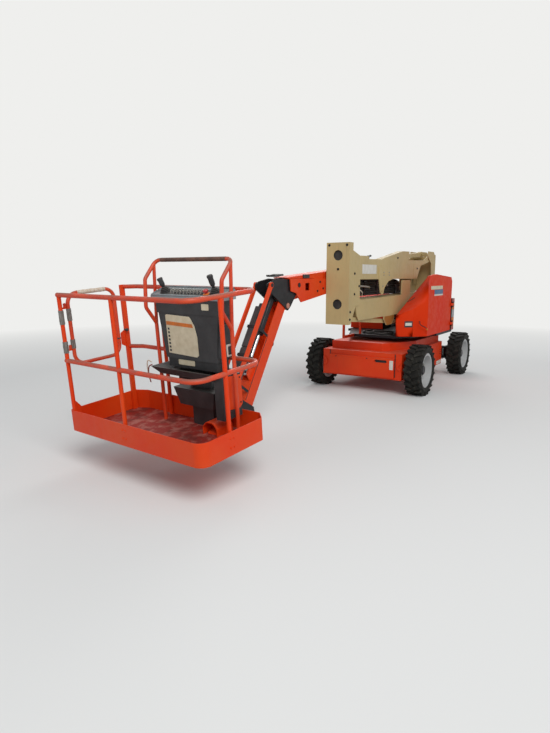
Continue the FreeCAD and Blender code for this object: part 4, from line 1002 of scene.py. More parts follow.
@dataclass
class Wheel(Assembly):
    """One wheel's nuts, dark hub and valve."""

    name: str = ""
    x: float = 0.0
    side: int = 1
    face_y: float = 759.0
    centre_z: float = 354.0
    valve_at: tuple[float, float] = (172.0, 20.0)

    def build(self) -> None:
        """Make the wheel's pieces."""
        out = LEFT * self.side
        face = at(self.x, self.side * self.face_y, self.centre_z)
        hub = [(0, 0.4), (98, 0.4), (98, 10), (90, 16), (88, 30), (80, 36), (66, 38), (62, 54),
               (54, 60), (0, 60)]
        for name, count, start, radius, lift, size in (("wheel_nuts", 8, 0.5, 137.5, 0.0, 1.7),
                                                       ("hub_bolts", 6, 0.0, 74.0, 37.5, 0.7)):
            turns = [math.tau * (i + start) / count for i in range(count)]
            places = [(face + Vector((math.cos(t), 0, math.sin(t))) * radius / 1000
                       + out * lift / 1000, out) for t in turns]
            self.bolt(f"{name}_{self.name}", places, ZINC, size)
        self.keep(Form(f"hub_{self.name}").turned(hub, face, out, 36), BLACK, 1.5)
        valve = [(0, -6), (6, -6), (5, 14), (4, 22), (4.5, 24), (4.5, 34), (0, 34)]
        base = face + Vector((self.valve_at[0], 0, self.valve_at[1])) / 1000
        self.keep(Form(f"valve_{self.name}").turned(valve, base, out + AHEAD * 0.4, 10), RUBBER)


@dataclass
class Platform(Assembly):
    """Floor, tape and latch parts of the work platform and its gate."""

    body: str = "platform"
    floor_inset: float = 9.0
    top_tape: tuple[float, float] = (175.0, -95.0)
    tape_rings: int = 8
    push: float = 0.001

    def build(self) -> None:
        """Make the platform's pieces."""
        self.lay_floor()
        self.wrap_tape()
        self.fit_latch()
        self.fit_bolts()

    def lay_floor(self) -> None:
        """Floor sheet inside the toe boards."""
        u, v = (half - self.floor_inset for half in PAN_HALF)
        outline = [(u, -v + 30), (u, v - 85), (u - 24, v - 26), (u - 84, v), (75 - u, v),
                   (-u, v - 75), (-u, 130 - v), (60 - u, -v), (u - 30, -v)]
        self.plate("platform_floor", FLOOR, outline, (6.2, 8.6), on_platform)

    def wrap_tape(self) -> None:
        """Tape wound round the gate's hinge side, its post and its top bar."""
        for name, body, u, inset, low, high, radius in (
                ("gate_tape_high", "gate", 270, 2, 935, 1035, 20),
                ("gate_tape_low", "gate", 270, 2, 700, 775, 20),
                ("post_tape_high", "platform", 350, 17, 915, 1030, 21),
                ("post_tape_low", "platform", 350, 17, 675, 770, 21)):
            line = [on_platform(u, RAIL_V + inset, low + (high - low) * i / self.tape_rings)
                    for i in range(self.tape_rings + 1)]
            self.wind(Form(name).tube(line, radius, 14), body, GREY_TAPE, len(name))
        start, end = self.top_tape
        line = [on_platform(start + (end - start) * i / 14, RAIL_V + 2, TOP_RAIL)
                for i in range(15)]
        self.wind(Form("gate_tape_top").tube(line, 18.5, 16), "gate", PALE_TAPE, 5)

    def wind(self, form: Form, body: str, finish: Finish, seed: int) -> None:
        """Keep a tape once its vertices are pushed in and out by up to a millimetre.

        Args:
            form: the tape.
            body: CAD body that carries it.
            finish: its finish.
            seed: seed of the random pushes.
        """
        chance = random.Random(seed)
        for vertex in form.mesh.verts:
            vertex.co += Vector([chance.uniform(-1, 1) * self.push for _ in range(3)])
        self.keep(form, finish, 0.0, body)

    def fit_latch(self) -> None:
        """Knobs of the gate's latch."""
        for name, body, start, end, profile, steps in (
                ("latch_knob", "gate", (-150, RAIL_V + 4, 700), (-190, RAIL_V + 4, 704),
                 [(0, 0), (9, 0), (8, 22), (13, 30), (15, 40), (11, 52), (0, 56)], 16),
                ("latch_stop", "platform", (-262, RAIL_V, 770), (-262, RAIL_V + 40, 772),
                 [(0, 0), (8, 0), (8, 26), (14, 32), (14, 44), (0, 46)], 14)):
            base = on_platform(*start)
            self.keep(Form(name).turned(profile, base, on_platform(*end) - base, steps),
                      DARK_PLASTIC, 0.0, body)

    def fit_bolts(self) -> None:
        """Bolts that hold the posts' feet to the toe boards."""
        places = []
        for w in (60, 130):
            places += [(on_platform(PAN_HALF[0], v, w), PLATFORM_AHEAD) for v in (-78, -42)]
            places += [(on_platform(u, PAN_HALF[1], w), PLATFORM_LEFT) for u in (42, 78)]
        self.bolt("toe_board_bolts", places, ORANGE, 0.55)


@dataclass
class Console(Assembly):
    """Control console on the platform: panel, switches, plates and side boxes."""

    body: str = "platform"
    middle: float = 166.0
    face_low: tuple[float, float] = (-185.0, 595.0)
    face_high: tuple[float, float] = (-178.0, 970.0)
    panel_front: tuple[float, float] = (-165.0, 1112.0)
    panel_back: tuple[float, float] = (-328.0, 1168.0)
    toggles: int = 9
    toggle_pitch: float = 38.0
    toggle_share: float = 0.28
    first_toggle: float = -150.0
    stop_at: tuple[float, float] = (0.3, 370.0)

    def build(self) -> None:
        """Make the console's pieces."""
        self.fit_plates()
        self.fit_panel()
        self.fit_toggles()
        self.fit_levers()
        self.fit_side_plate()
        self.fit_soft_parts()

    def face(self, v: float, w: float, out: float) -> Vector:
        """Point on the console's front face.

        Args:
            v: place across the platform.
            w: height.
            out: distance out from the face.

        Returns:
            The machine's point in metres.
        """
        share = (w - self.face_low[1]) / (self.face_high[1] - self.face_low[1])
        u = self.face_low[0] + share * (self.face_high[0] - self.face_low[0])
        return on_platform(u + out, v, w)

    def on_panel(self, share: float, v: float, up: float) -> Vector:
        """Point on the panel's slope.

        Args:
            share: place from its front edge (0) to its back (1).
            v: place across the platform.
            up: distance up from the slope.

        Returns:
            The machine's point in metres.
        """
        u = self.panel_front[0] + share * (self.panel_back[0] - self.panel_front[0])
        w = self.panel_front[1] + share * (self.panel_back[1] - self.panel_front[1])
        return on_platform(u + up * 0.32, v, w + up * 0.95)

    def panel_up(self) -> Vector:
        """The way up from the panel."""
        return (self.on_panel(0, 0, 10) - self.on_panel(0, 0, 0)).normalized()

    def fit_plates(self) -> None:
        """Blank plates on the console's front."""
        outline = [(-86, 636), (240, 624), (262, 640), (262, 790), (240, 880), (205, 935),
                   (190, 950), (-76, 958), (-88, 950)]
        self.plate("console_plate", LABEL, outline, (0.4, 2.6), self.face, 0.6)
        outline = [(-84, 872), (228, 862), (216, 892), (-84, 903)]
        self.plate("console_plate_stripe", STRIPE, outline, (2.2, 3.2), self.face)
        rows = Form("console_plate_rows")
        for low in range(650, 860, 30):
            rows.prism(box(-74, low, -52, low + 18), 2.2, 3.0, self.face)
        self.keep(rows, DARK_PLASTIC)
        self.plate("console_low_plate", LABEL, rounded(190, 44, 8, (105, 566)), (0.0, 2.4),
                   front_on(-192, on_platform), 0.5)
        self.plate("console_band_plate", LABEL, rounded(76, 48, 6, (382, 1034)), (0.0, 2.0),
                   front_on(-171.6, on_platform), 0.5)

    def fit_panel(self) -> None:
        """Lip and switch field of the panel."""
        corners = ((0.03, -392), (0.03, 392), (0.97, 392), (0.97, -392), (0.03, -392))
        line = [self.on_panel(share, self.middle + v, 3) for share, v in corners]
        self.keep(Form("panel_lip").tube(line, 7, 8), PANEL_PLASTIC)
        self.plate("switch_field", DARK_PLASTIC, rounded(620, 0.62, 0.08, (self.middle, 0.42)),
                   (0.4, 3.0), lambda a, b, c: self.on_panel(b, a, c))

    def fit_toggles(self) -> None:
        """Toggles with their collars, and a wire guard on each side of them."""
        up = self.panel_up()
        toggles, collars, guards = (Form(name) for name in
                                    ("panel_toggles", "toggle_collars", "toggle_guards"))
        for i in range(self.toggles):
            v = self.middle + self.first_toggle + i * self.toggle_pitch
            base = self.on_panel(self.toggle_share, v, 3)
            lean = up + (base - self.on_panel(0.6, v, 3)).normalized() * 0.35
            toggles.turned([(0, 0), (4, 0), (3.4, 14), (5, 26), (5, 30), (0, 33)], base, lean, 10)
            collars.turned([(0, -1), (11, -1), (10, 6), (6, 9), (0, 9)], base, up, 12)
        for i in range(self.toggles + 1):
            v = self.middle + self.first_toggle + (i - 0.5) * self.toggle_pitch
            arch = ((0.12, 2), (0.16, 26), (0.28, 36), (0.42, 26), (0.46, 2))
            guards.hose([(share, v, high) for share, high in arch], 2.6, 8, 4,
                        place=self.on_panel)
        for form, finish in ((toggles, ZINC), (collars, DARK_PLASTIC), (guards, ZINC)):
            self.keep(form, finish)

    def fit_levers(self) -> None:
        """Two joysticks with boots, and the stop button on its ring."""
        up = self.panel_up()
        boot = [(0, 0), (46, 0), (46, 5), (38, 9), (40, 16), (31, 20), (33, 27), (23, 31),
                (25, 37), (16, 42), (0, 42)]
        grip = ((0, 38), (10, 38), (12, 60), (19, 72), (22, 95), (21, 128), (25, 148), (22, 160),
                (0, 164))
        right = on_platform(0, 0, 0) - on_platform(0, 60, 0)
        for name, v, share, lean, tall in (("left_joystick", -118, 0.42, 3.0, 0.74),
                                           ("right_joystick", 442, 0.45, 0.8, 0.9)):
            base = self.on_panel(share, v, 3)
            self.keep(Form(name + "_boot").turned(boot, base, up, 28), RUBBER)
            self.keep(Form(name).turned([(r, high * tall) for r, high in grip], base,
                                        up + right * lean, 20), DARK_PLASTIC, 0.5)
        stop = [(0, 0), (13, 0), (13, 16), (22, 20), (23, 30), (17, 37), (0, 39)]
        ring = [(0, 0), (30, 0), (30, 3), (26, 5), (0, 5)]
        for name, finish, profile, lift in (("stop_button", RED_PLASTIC, stop, 3),
                                            ("stop_ring", STRIPE, ring, 2.6)):
            self.keep(Form(name).turned(profile, self.on_panel(*self.stop_at, lift), up), finish)

    def fit_side_plate(self) -> None:
        """Orange plate on the valve housing's outer side and the connector above it."""
        v = self.middle + 390
        outline = [(-332, 250), (-300, 224), (-150, 238), (-132, 262), (-132, 508), (-332, 492)]
        self.plate("housing_plate", ORANGE, outline, (0.3, 5.0), side_on(v, 1, on_platform), 0.8)
        corners = ((-312, 268), (-150, 268), (-150, 482), (-312, 472))
        self.bolt("housing_bolts", [(on_platform(u, v + 5.4, w), PLATFORM_LEFT)
                                    for u, w in corners], BLACK, 0.45)
        wall = side_on(self.middle + 372, 1, on_platform)
        self.plate("connector_frame", WHITE_LABEL, rounded(70, 96, 8, (-245, 700)), (0.2, 7.0),
                   wall, 1.0, slot=Slot.GREY)
        self.plate("connector_socket", RUBBER, rounded(44, 66, 6, (-245, 700)), (6.0, 9.0), wall)

    def fit_soft_parts(self) -> None:
        """Worn sleeve on the guard's top bar, and lanyard ends tied at the tray's right corner."""
        line = [on_platform(-285, self.middle + v, 1390) for v in range(-365, 366, 73)]
        self.keep(Form("guard_sleeve").tube(line, 17.2, 16), SLEEVE)
        c = self.middle
        for name, finish, radius, flat, points in (
                ("red_lanyard", WEBBING, 11, 0.45,
                 ((-95, c - 380, 540), (-70, c - 398, 520), (-66, c - 402, 450),
                  (-74, c - 396, 388))),
                ("pale_lanyard", PALE_TAPE, 8, 0.6,
                 ((-90, c - 376, 560), (-66, c - 400, 575), (-62, c - 408, 500),
                  (-72, c - 404, 430)))):
            form = Form(name).hose(points, radius, 8, 5, flat, on_platform)
            self.keep(form, finish, slot=Slot.PLASTIC)


@dataclass
class Chassis(Assembly):
    """Plates, dark marks of painted shade in the vents, the cover's slot and its gaps, and
    tie-downs of the chassis.
    """

    body: str = "chassis"
    half_width: float = 600.0
    front: float = 1295.0
    cover_front: float = 1329.0
    cover_ends: tuple[float, float] = (-480.0, 500.0)
    ring_radius: float = 362.0
    ring_top: float = 752.0
    ring_bolts: int = 28
    lug_middle: tuple[float, float] = (590.0, 418.0)
    lug_radii: tuple[float, float] = (62.0, 34.0)
    lug_flats: int = 12
    lug_reach: float = 16.0

    def build(self) -> None:
        """Make the chassis pieces."""
        self.fit_side()
        self.fit_cover()
        self.fit_tie_downs()
        turns = [math.tau * i / self.ring_bolts for i in range(self.ring_bolts)]
        places = [(at(self.ring_radius * math.cos(t), self.ring_radius * math.sin(t),
                      self.ring_top), UP) for t in turns]
        self.bolt("slew_ring_bolts", places, STEEL, 0.02)

    def fit_side(self) -> None:
        """Dark marks on both sides, painted as the shade inside small cooling slots, and a blank
        plate on the left.
        """
        # Dark rounded marks on the sides: painted shade of the cooling slots
        vents = Form("side_vent_shades")
        for side in (1, -1):
            for row in range(3):
                for i in range(3):
                    vents.prism(rounded(17, 12, 5, (-462 - i * 36, 392 + row * 32)), 0.2, 2.4,
                                side_on(self.half_width, side))
        self.keep(vents, RUBBER)
        self.plate("side_plate", WHITE_LABEL, rounded(236, 56, 6, (-420, 262)), (0.2, 2.0),
                   side_on(self.half_width))

    def fit_cover(self) -> None:
        """Blank plate, dark sheets painted as the shade in the slot and in the gaps at the cover's
        ends, and bolts of the front cover.
        """
        self.plate("cover_plate", WHITE_LABEL, rounded(52, 128, 5, (464, 433)), (0.2, 2.0),
                   front_on(self.cover_front))
        # A dark plate set back in the slot: painted shade
        self.plate("cover_slot_shade", RUBBER, rounded(172, 34, 16.5, (305, 475), 5),
                   (8.4, 12.0), front_on(self.front))
        # Dark strips in the gaps at the cover's ends: painted shade
        gaps = Form("cover_gap_shades")
        for end, side in zip(self.cover_ends, (-1, 1)):
            low, high = sorted((end + side * 1.5, end + side * 12))
            gaps.prism(box(low, 262, high, 584), 0.4, 5.0, front_on(self.front))
        self.keep(gaps, RUBBER)
        self.bolt("cover_bolts", [(at(self.cover_front, y, 500), AHEAD) for y in (-380, 100)],
                  BLACK, 0.55)

    def fit_tie_downs(self) -> None:
        """Half-round tie-down lugs on the chassis' front corners."""
        lugs = Form("tie_down_lugs")
        y, z = self.lug_middle
        turns = [math.pi * i / self.lug_flats for i in range(self.lug_flats + 1)]
        for side in (-1, 1):
            arc, inner = ([(side * (y - radius * math.sin(t)), z + radius * math.cos(t))
                           for t in turns] for radius in self.lug_radii)
            lugs.prism(arc + inner[::-1], 0.4, self.lug_reach, front_on(self.front))
        # The lugs take the darker orange, which is painted shade
        self.keep(lugs, SHADED_ORANGE, 1.5)


@dataclass
class Turntable(Assembly):
    """Reflective strips, post sleeves and hoses of the turntable."""

    body: str = "turntable"
    tail_radius: float = 960.0
    tail_side: float = 760.0
    strip_front: float = -462.0
    strip_turn: float = 0.018
    strip_flats: int = 7
    strip_span: tuple[float, float] = (0.3, 2.6)
    plate_top: float = 788.3

    def build(self) -> None:
        """Make the turntable's pieces."""
        self.fit_strips()
        self.fit_posts()
        self.lay_hoses()

    def fit_strips(self) -> None:
        """Reflective strips on the tail's left corner, one above the other."""
        corner = -math.sqrt(self.tail_radius ** 2 - self.tail_side ** 2)
        start = math.atan2(self.tail_side, corner)
        turns = [start + self.strip_turn * (i + 1) for i in range(self.strip_flats)]
        inner, outer = ([(self.strip_front, self.tail_side + grow), (corner, self.tail_side + grow)]
                        + [(math.cos(t) * (self.tail_radius + grow),
                            math.sin(t) * (self.tail_radius + grow)) for t in turns]
                        for grow in self.strip_span)
        rows = ((RED_REFLECTIVE, 1225, 1288), (STRIPE, 1118, 1221), (GREY_REFLECTIVE, 992, 1114),
                (STRIPE, 842, 988), (RED_REFLECTIVE, 792, 838))
        for number, (finish, low, high) in enumerate(rows, 1):
            self.plate(f"tail_strip_{number}", finish, inner[::-1] + outer, (low, high), at)

    def fit_posts(self) -> None:
        """Enamelled sleeves on the two short posts and on the arm between them."""
        sleeves = Form("post_sleeves")
        for x, y, high in ((1231.5, -311.0, 979.5), (877.5, -211.0, 995.5)):
            sleeves.prism(rounded(30, 31, 4, (x, y)), self.plate_top, high, at)
        sleeves.prism(rounded(352, 31, 4, (1071, -311)), 750.5, self.plate_top + 1.2, at)
        # The sleeves take the darker orange, which is painted shade
        self.keep(sleeves, SHADED_ORANGE, 1.2)

    def lay_hoses(self) -> None:
        """Slack hoses that lie on the turntable's front plate below the folded tower."""
        paths = (((250, -60, 800), (420, 40, 806), (600, -10, 802), (760, -150, 803),
                  (840, -60, 802), (800, 120, 803), (640, 210, 806)),
                 ((250, -130, 800), (450, -170, 804), (640, -90, 802), (800, 20, 804),
                  (860, 160, 803), (760, 250, 802)),
                 ((300, 60, 801), (480, 150, 803), (660, 120, 827), (820, -20, 826),
                  (760, -190, 803), (600, -230, 802)),
                 ((320, -250, 800), (520, -290, 801), (700, -240, 804), (840, -150, 826)))
        for number, points in enumerate(paths, 1):
            self.keep(Form(f"slack_hose_{number}").hose(points, 11.5, 12, 7), RUBBER)


@dataclass
class Hood(Assembly):
    """Moulded shells of both hoods, and the left one's blank plates, badge, painted shade of a
    finger recess, and pull.
    """

    body: str = "hood_left"
    y: float = 750.0
    corner: float = 26.0
    corner_steps: int = 4
    inner_y: float = 0.395
    foot: float = 0.01
    same_corner: float = 1e-5
    flat_up_to: float = math.radians(1.5)
    rounded_from: float = math.radians(11)
    hard_from: float = math.radians(75)
    even_weight: int = 100

    def build(self) -> None:
        """Make the hoods' pieces."""
        for node in ("hood_left", "hood_right"):
            self.mould(node)
        for name, finish, outline in (
                ("hood_plate_pale", LABEL, rounded(560, 50, 8, (350, 1476))),
                ("hood_plate_blue", BLUE_LABEL, rounded(420, 64, 6, (258, 1414))),
                ("hood_plate_white", WHITE_LABEL, rounded(420, 22, 5, (258, 1369)))):
            self.plate(name, finish, outline, (0.2, 1.8), side_on(self.y))
        self.fit_badge()
        self.fit_pull()

    def mould(self, node: str) -> None:
        """Shell of the CAD hood's own form, with the rounded corners of a moulding.

        Args:
            node: CAD node that the shell stands for.
        """
        form = Form(node + "_shell")
        mesh = form.mesh
        mesh.from_mesh(frame["nodes"][node].data)
        bmesh.ops.remove_doubles(mesh, verts=mesh.verts, dist=self.same_corner)
        bmesh.ops.dissolve_limit(mesh, angle_limit=self.flat_up_to, verts=mesh.verts,
                                 edges=mesh.edges)
        mesh.normal_update()
        # The foot's edges and the inner side's stay sharp
        foot = min(vertex.co.z for vertex in mesh.verts) + self.foot
        edges = [edge for edge in mesh.edges
                 if len(edge.link_faces) == 2 and edge.is_convex
                 and edge.calc_face_angle() > self.rounded_from
                 and max(vertex.co.z for vertex in edge.verts) > foot
                 and all(abs(vertex.co.y) > self.inner_y for vertex in edge.verts)]
        bmesh.ops.bevel(mesh, geom=edges, offset=self.corner / 1000, segments=self.corner_steps,
                        profile=0.5, affect="EDGES", clamp_overlap=True)
        bmesh.ops.triangulate(mesh, faces=[face for face in mesh.faces if len(face.verts) > 4])
        shell = self.shop.keep(form, node, HOOD, replaces=(node,))
        shell.data.set_sharp_from_angle(angle=self.hard_from)
        flat = shell.modifiers.new("even normals", "WEIGHTED_NORMAL")
        flat.keep_sharp = True
        flat.weight = self.even_weight

    def fit_badge(self) -> None:
        """Dark badge with a pale field, and a dark sheet on the slope above it, painted as the
        shade of a finger recess.
        """
        skin = Skin("hood_left")
        badge = (at(950, 560, 975), Vector((0.75, 0.6, 0.1)))
        grip = (at(640, 470, 1330), Vector((0.5, 0.2, 0.85)))
        self.keep(skin.sheet("hood_badge", *badge, (112, 86), 3.0), DARK_PLASTIC)
        self.keep(skin.sheet("hood_badge_field", *badge, (88, 42), 4.2), WHITE_LABEL)
        # The dark sheet is painted shade of a finger recess
        self.keep(skin.sheet("hood_recess_shade", *grip, (96, 34), 2.2, -8.0), RUBBER)

    def fit_pull(self) -> None:
        """Bent wire pull with a pale knob at its end."""
        wire = ((858, 672, 1010), (878, 690, 1012), (886, 694, 985), (870, 712, 960),
                (820, 752, 930), (790, 766, 905))
        self.keep(Form("hood_pull").hose(wire, 5.5, 10), BLACK)
        knob = [(0, -14), (10, -13), (14, -4), (14, 6), (9, 14), (0, 15)]
        self.keep(Form("hood_pull_knob").turned(knob, at(790, 766, 902),
                                                Vector((-0.5, 0.3, -0.8)), 16), STRIPE)


@dataclass
class Tower(Assembly):
    """Bolts, blank plate, dark cups of painted shade behind the holes, and hoses of the folded
    tower.
    """

    body: str = "upper_tower"
    beam_side: float = 344.0
    upright_side: float = 360.3
    hose_rows: int = 7

    def build(self) -> None:
        """Make the tower's pieces."""
        self.fit_bolts()
        self.fit_plates()
        self.shade_holes()
        self.lay_hoses()

    def on_side(self, y: float, spots: Iterable[tuple[float, float]]) -> list[Any]:
        """Places of heads on a side that faces left."""
        return [(at(x, y, z), LEFT) for x, z in spots]

    def fit_bolts(self) -> None:
        """Pin keepers and bolts that show on the left side and the front."""
        places = self.on_side(self.upright_side, ((2353, 1671), (2349, 1428), (2456, 1221),
                                                  (2461, 1132), (2222, 1523)))
        places += [(at(2500.3, y, z), AHEAD) for y, z in ((215, 1722), (95, 2000), (325, 2000))]
        self.bolt("upright_bolts", places, BLACK, 1.0, "mid_upright")
        places = self.on_side(self.beam_side + 10.4, (
            (1430, 1690), (1240, 1690), (1425, 1655), (1240, 1655), (1452, 1510), (1292, 1520)))
        self.bolt("stow_plate_bolts", places, ZINC, 0.7)
        places = (self.on_side(self.beam_side + 0.3, ((910, 1893),))
                  + self.on_side(self.beam_side + 3.4, ((83, 1755),)))
        self.bolt("beam_bolts", places, BLACK, 1.0)

    def fit_plates(self) -> None:
        """Blank label, rear doubler and the small boxes on the upper beam."""
        beam = side_on(self.beam_side)
        for name, finish, outline, span, bevel, body in (
                ("upper_tower_plate", WHITE_LABEL, rounded(440, 114, 6, (1880, 1727)),
                 (0.2, 2.0), 0.0, "upper_tower"),
                ("beam_doubler", CREAM,
                 [(226, 1622), (72, 1622), (-80, 1795), (-190, 1852), (226, 1850)],
                 (0.2, 3.2), 0.8, "upper_tower"),
                ("beam_front_box", CREAM,
                 [(2150, 1846), (1900, 1849), (1900, 1882), (1925, 1890), (2130, 1888),
                  (2150, 1876)], (-84, -2), 2.0, "upper_tower"),
                # The plate under the lower beam is cream enamel darkened as painted shade
                ("beam_underplate", SHADED_CREAM_SHEET,
                 [(1332, 1098), (975, 1103), (985, 1066), (1078, 978), (1242, 978),
                  (1330, 1052)], (0.3, 2.4), 0.6, "lower_tower")):
            self.plate(name, finish, outline, span, beam, bevel, body)
        valve = Form("beam_connector")
        valve.turned([(0, -22), (15, -22), (15, -6), (19, -4), (19, 10), (12, 12), (11, 26),
                      (0, 27)], at(1835, 300, 1874), Vector((0.25, 0, 1)), 16)
        valve.turned([(0, 0), (9, 0), (9, 60), (13, 62), (13, 80), (0, 80)], at(1835, 300, 1886),
                     Vector((-1, 0, 0.15)), 12)
        self.keep(valve, DARK_PLASTIC)

    def shade_holes(self) -> None:
        """Dark cups behind the two round holes of the middle upright's face: painted shade inside
        the hollow upright.
        """
        profile = [(0, 0), (72, 0), (72, 18.5), (60.5, 18.5), (58, 5), (0, 4)]
        for number, z in enumerate((1310.0, 1882.0), 1):
            cup = Form(f"upright_hole_shade_{number}").turned(profile, at(2471, 210, z), AHEAD, 32)
            self.keep(cup, RUBBER, 0.0, "mid_upright")

    def lay_hoses(self) -> None:
        """Hoses in their clamps on the lower beam, between the two beams, with pipe and loop."""
        for row in range(self.hose_rows):
            for column in range(2):
                y = 118 + column * 36 + 6 * math.sin(row * 1.7)
                z = 1402 + row * 30
                ripple = 5 * math.sin(row + column)
                line = ((2140 - 40 * row, y, z + 6), (1850, y + ripple, z),
                        (1500, y - ripple, z - 2), (1150, y + ripple, z + 2), (800, y, z - 2),
                        (470, y - ripple, z), (300, y - 10, z - 8 - row * 4))
                self.keep(Form(f"riser_hose_{row + 1}_{column + 1}").hose(line, 14.5), RUBBER,
                          0.0, "lower_tower")
        clamps = Form("riser_clamps")
        angle = [(98, 1388), (190, 1388), (190, 1394), (176, 1394), (176, 1588), (98, 1588)]
        for x in (2020, 1640, 1220, 860, 500):
            clamps.prism(angle, -13, 13, front_on(x))
        self.keep(clamps, BLACK, 0.8, "lower_tower")
        pipe = ((2190, 262, 1512), (2120, 262, 1520), (1900, 262, 1515), (1700, 262, 1502),
                (1640, 240, 1490))
        self.keep(Form("riser_pipe").hose(pipe, 13, 14, 6), ZINC, 0.0, "lower_tower")
        loop = ((2180, 300, 1480), (2100, 306, 1478), (1990, 300, 1440), (1930, 270, 1398),
                (1840, 220, 1392))
        self.keep(Form("riser_loop").hose(loop, 7, 10, 6), PALE_TAPE, 0.0, "lower_tower",
                  Slot.PLASTIC)


@dataclass
class Boom(Assembly):
    """Nose plate, guide block, hoses and jib parts of the stowed boom."""

    body: str = "jib_beam"
    cheek: float = 103.3

    def build(self) -> None:
        """Make the boom's and jib's pieces."""
        self.fit_nose()
        self.lay_hoses()
        self.clamp_hoses()
        self.dress_jib()

    def fit_nose(self) -> None:
        """Top plate of the nose, the dark guide on it and the cheeks' bolts."""
        middle = side_on(BOOM_Y)
        self.plate("nose_top", ORANGE, [(2532, 1614.5), (3334, 1614.5), (3350, 1628),
                                        (2532, 1692)], (-88, 88), middle, 2.0, "fly_boom")
        self.plate("nose_guide", DARK_PLASTIC, rounded(128, 40, 8, (2955, 1641)), (88.3, 106),
                   middle, 1.5, "fly_boom")
        places = [(at(x, BOOM_Y + s * self.cheek, z), LEFT * s) for x, z in
                  ((2638, 1576), (2560, 1500), (2700, 1470)) for s in (1, -1)]
        self.bolt("nose_bolts", places, BLACK, 0.9, "fly_boom")

    def lay_hoses(self) -> None:
        """Hoses that arch over the nose onto the jib, and those that follow the jib."""
        arch = ((3370, 1655), (3415, 1653), (3475, 1644), (3532, 1646))
        for number, y in enumerate((-48, -24, 0, 24, 48), 1):
            form = Form(f"nose_hose_{number}")
            form.hose([(x, BOOM_Y + y, z) for x, z in arch], 10.5, 12, 6)
            self.keep(form, RUBBER, 0.0, "level_bracket")
        rows = ((-22, 316), (0, 316), (22, 316), (-11, 340), (11, 340))
        for number, (y, side) in enumerate(rows, 1):
            line = [(d, y, side + rise) for d, rise in
                    ((178, 0), (330, 6), (560, 0), (780, 0), (900, 6), (1180, 0))]
            self.keep(Form(f"jib_hose_{number}").hose(line, 13.0, place=on_jib), RUBBER)

    def clamp_hoses(self) -> None:
        """Split sleeve round the jib's hoses, and its clamps."""
        sleeve = Form("jib_hose_sleeve")
        for start, end in ((214, 676), (688, 1128)):
            sleeve.prism(rounded(122, 50, 17, (0, 331), 5), start, end,
                         lambda a, b, c: on_jib(c, a, b))
        self.keep(sleeve, DARK_PLASTIC, 3.0)
        clamps = Form("jib_hose_clamps")
        for d in (450, 770, 1080):
            for low, y in ((158, (-65, -61.5)), (158, (61.5, 65)), (357, (-63, 63))):
                clamps.prism(box(d - 14, low, d + 14, 362), *y, side_on(0, 1, on_jib))
        self.keep(clamps, BLACK, 0.6)

    def dress_jib(self) -> None:
        """Dark strips painted as the shade in the seams, hook, and pin caps of the jib; the caps'
        pale pink is a painted highlight.
        """
        # Thin dark strips along the jib's sides: painted shade in the seam between its plates
        seam = Form("jib_seam_shade")
        for y in ((-66.6, -65.2), (65.2, 66.6)):
            seam.prism(box(430, 148, 1170, 155), *y, side_on(0, 1, on_jib))
        self.keep(seam, RUBBER)
        hook = [(d, 40, side) for d, side in
                ((430, 12), (436, -14), (462, -26), (488, -16), (490, 4))]
        self.keep(Form("jib_hook").hose(hook, 5, 10, place=on_jib), BLACK)
        # The pin caps' pale pink is a painted highlight on the pin ends
        caps = Form("bracket_pin_caps")
        for side in (-1, 1):
            caps.turned([(0, 0.3), (30, 0.3), (30, 7), (25, 10), (0, 10)],
                        at(JIB_PIN[0], BOOM_Y + side * 79.5, JIB_PIN[1]), LEFT * side)
        self.keep(caps, HIGHLIT_PIN, 0.0, "level_bracket")


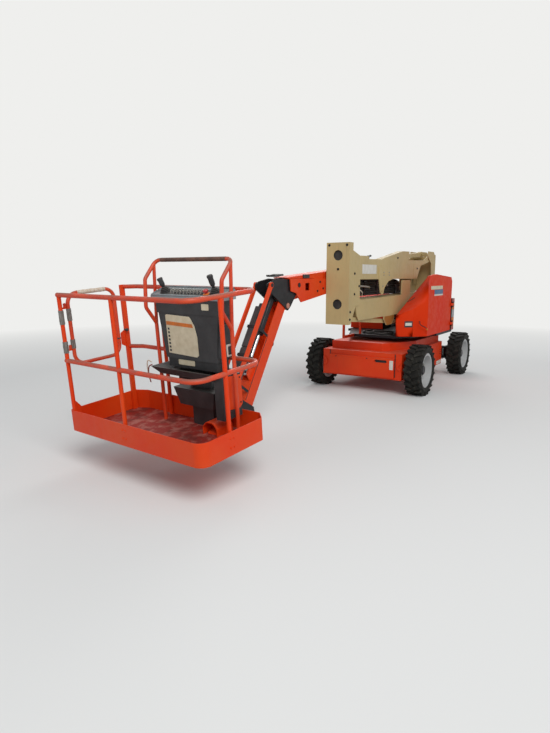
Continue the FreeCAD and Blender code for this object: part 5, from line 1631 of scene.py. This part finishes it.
@dataclass
class Studio:
    """Pale floor, even light and the photograph's camera."""

    floor_half: float = 30.0
    camera_place: tuple[float, float, float] = (8300.0, 3120.0, 1645.0)
    yaw: float = math.radians(213.18)
    pitch: float = math.radians(9.55)
    lens: float = 26.47
    pale: str = "EFEFED"
    matt: str = "DCDCDA"
    sky: str = "E9EDF2"
    sky_strength: float = 0.5
    lamp_size: float = 6.0
    lamp_aim: tuple[float, float, float] = (0.0, 0.0, 0.8)
    blend: tuple[float, float] = (5.5, 13.0)

    def build(self) -> None:
        """Make the floor, the lights and the camera."""
        self.light()
        self.lay_floor()
        self.set_camera()

    def set_camera(self) -> None:
        """Camera at the photograph's place, level, with no shift."""
        data = bpy.data.cameras.new("photo_camera")
        data.lens = self.lens
        data.sensor_width = 36.0
        data.clip_end = 200.0
        camera = add_object("photo_camera", data)
        level = math.cos(self.pitch)
        aim = Vector((math.cos(self.yaw) * level, math.sin(self.yaw) * level,
                      -math.sin(self.pitch)))
        camera.location = at(*self.camera_place)
        camera.rotation_euler = aim.to_track_quat("-Z", "Y").to_euler()
        bpy.context.scene.camera = camera

    def light(self) -> None:
        """Soft world light and two large lamps."""
        world = bpy.data.worlds.new("studio")
        bpy.context.scene.world = world
        world.use_nodes = True
        tree = world.node_tree
        tree.nodes.clear()
        path = add_node(tree, "ShaderNodeLightPath").outputs
        seen = add_node(tree, "ShaderNodeMath",
                        {0: path["Is Camera Ray"], 1: path["Is Glossy Ray"]}, operation="MAXIMUM")
        soft = add_node(tree, "ShaderNodeBackground",
                        {"Color": linear(self.sky), "Strength": self.sky_strength})
        pale = add_node(tree, "ShaderNodeBackground", {"Color": linear(self.pale), "Strength": 1.0})
        both = add_node(tree, "ShaderNodeMixShader",
                        {0: seen.outputs["Value"], 1: soft.outputs["Background"],
                         2: pale.outputs["Background"]})
        add_node(tree, "ShaderNodeOutputWorld", {"Surface": both.outputs["Shader"]})
        for name, place, power in (("key", (7.5, 6.5, 8.0), 700.0),
                                   ("rim", (-7.0, -3.0, 7.5), 420.0)):
            data = bpy.data.lights.new(name, "AREA")
            data.shape = "DISK"
            data.size = self.lamp_size
            data.energy = power
            lamp = add_object(name, data)
            lamp.location = place
            aim = Vector(self.lamp_aim) - lamp.location
            lamp.rotation_euler = aim.to_track_quat("-Z", "Y").to_euler()

    def lay_floor(self) -> None:
        """Matt pale floor that runs into the background's colour far out, for the camera only."""
        h = self.floor_half
        mesh = bpy.data.meshes.new("studio_floor")
        mesh.from_pydata([(-h, -h, 0), (h, -h, 0), (h, h, 0), (-h, h, 0)], [], [(0, 1, 2, 3)])
        material, pattern = start_material("studio floor")
        tree = pattern.tree
        reach = add_node(tree, "ShaderNodeVectorMath", {0: pattern.coords}, operation="LENGTH")
        far = pattern.step(reach.outputs["Value"], *self.blend)
        share = pattern.join(far, add_node(tree, "ShaderNodeLightPath").outputs["Is Camera Ray"])
        matt = add_node(tree, "ShaderNodeBsdfDiffuse",
                        {"Color": linear(self.matt), "Roughness": 0.6})
        even = add_node(tree, "ShaderNodeEmission", {"Color": linear(self.pale), "Strength": 1.0})
        both = add_node(tree, "ShaderNodeMixShader", {0: share, 1: matt.outputs["BSDF"],
                                                      2: even.outputs["Emission"]})
        add_node(tree, "ShaderNodeOutputMaterial", {"Surface": both.outputs["Shader"]})
        mesh.materials.append(material)
        add_object("studio_floor", mesh)


def dress_nodes(shop: Workshop) -> None:
    """Give every CAD node its finish.

    Args:
        shop: the workshop.
    """
    for name, node in frame["nodes"].items():
        finish = next((finish for finish, starts in NODE_FINISHES
                       if name.startswith(tuple(starts.split()))), ORANGE)
        node.data.materials.clear()
        node.data.materials.append(shop.material(finish))
        for polygon in node.data.polygons:
            polygon.material_index = 0
        LOG.info("node %s in %s", name, finish.name)


def main() -> None:
    """Build the scene, sub-assembly by sub-assembly."""
    logging.basicConfig(level=logging.INFO, format="%(name)s: %(message)s")
    bpy.context.scene.view_settings.view_transform = "Standard"
    Studio().build()
    shop = Workshop()
    dress_nodes(shop)
    for name, x, side in (("front_left", 1005.0, 1), ("front_right", 1005.0, -1),
                          ("rear_left", -1005.0, 1), ("rear_right", -1005.0, -1)):
        Wheel(shop, "wheel_" + name, name, x, side).build()
    for assembly in (Platform, Console, Chassis, Turntable, Hood, Tower, Boom):
        assembly(shop).build()
    LOG.info("%d pieces made", shop.pieces)


if __name__ == "__main__":
    main()
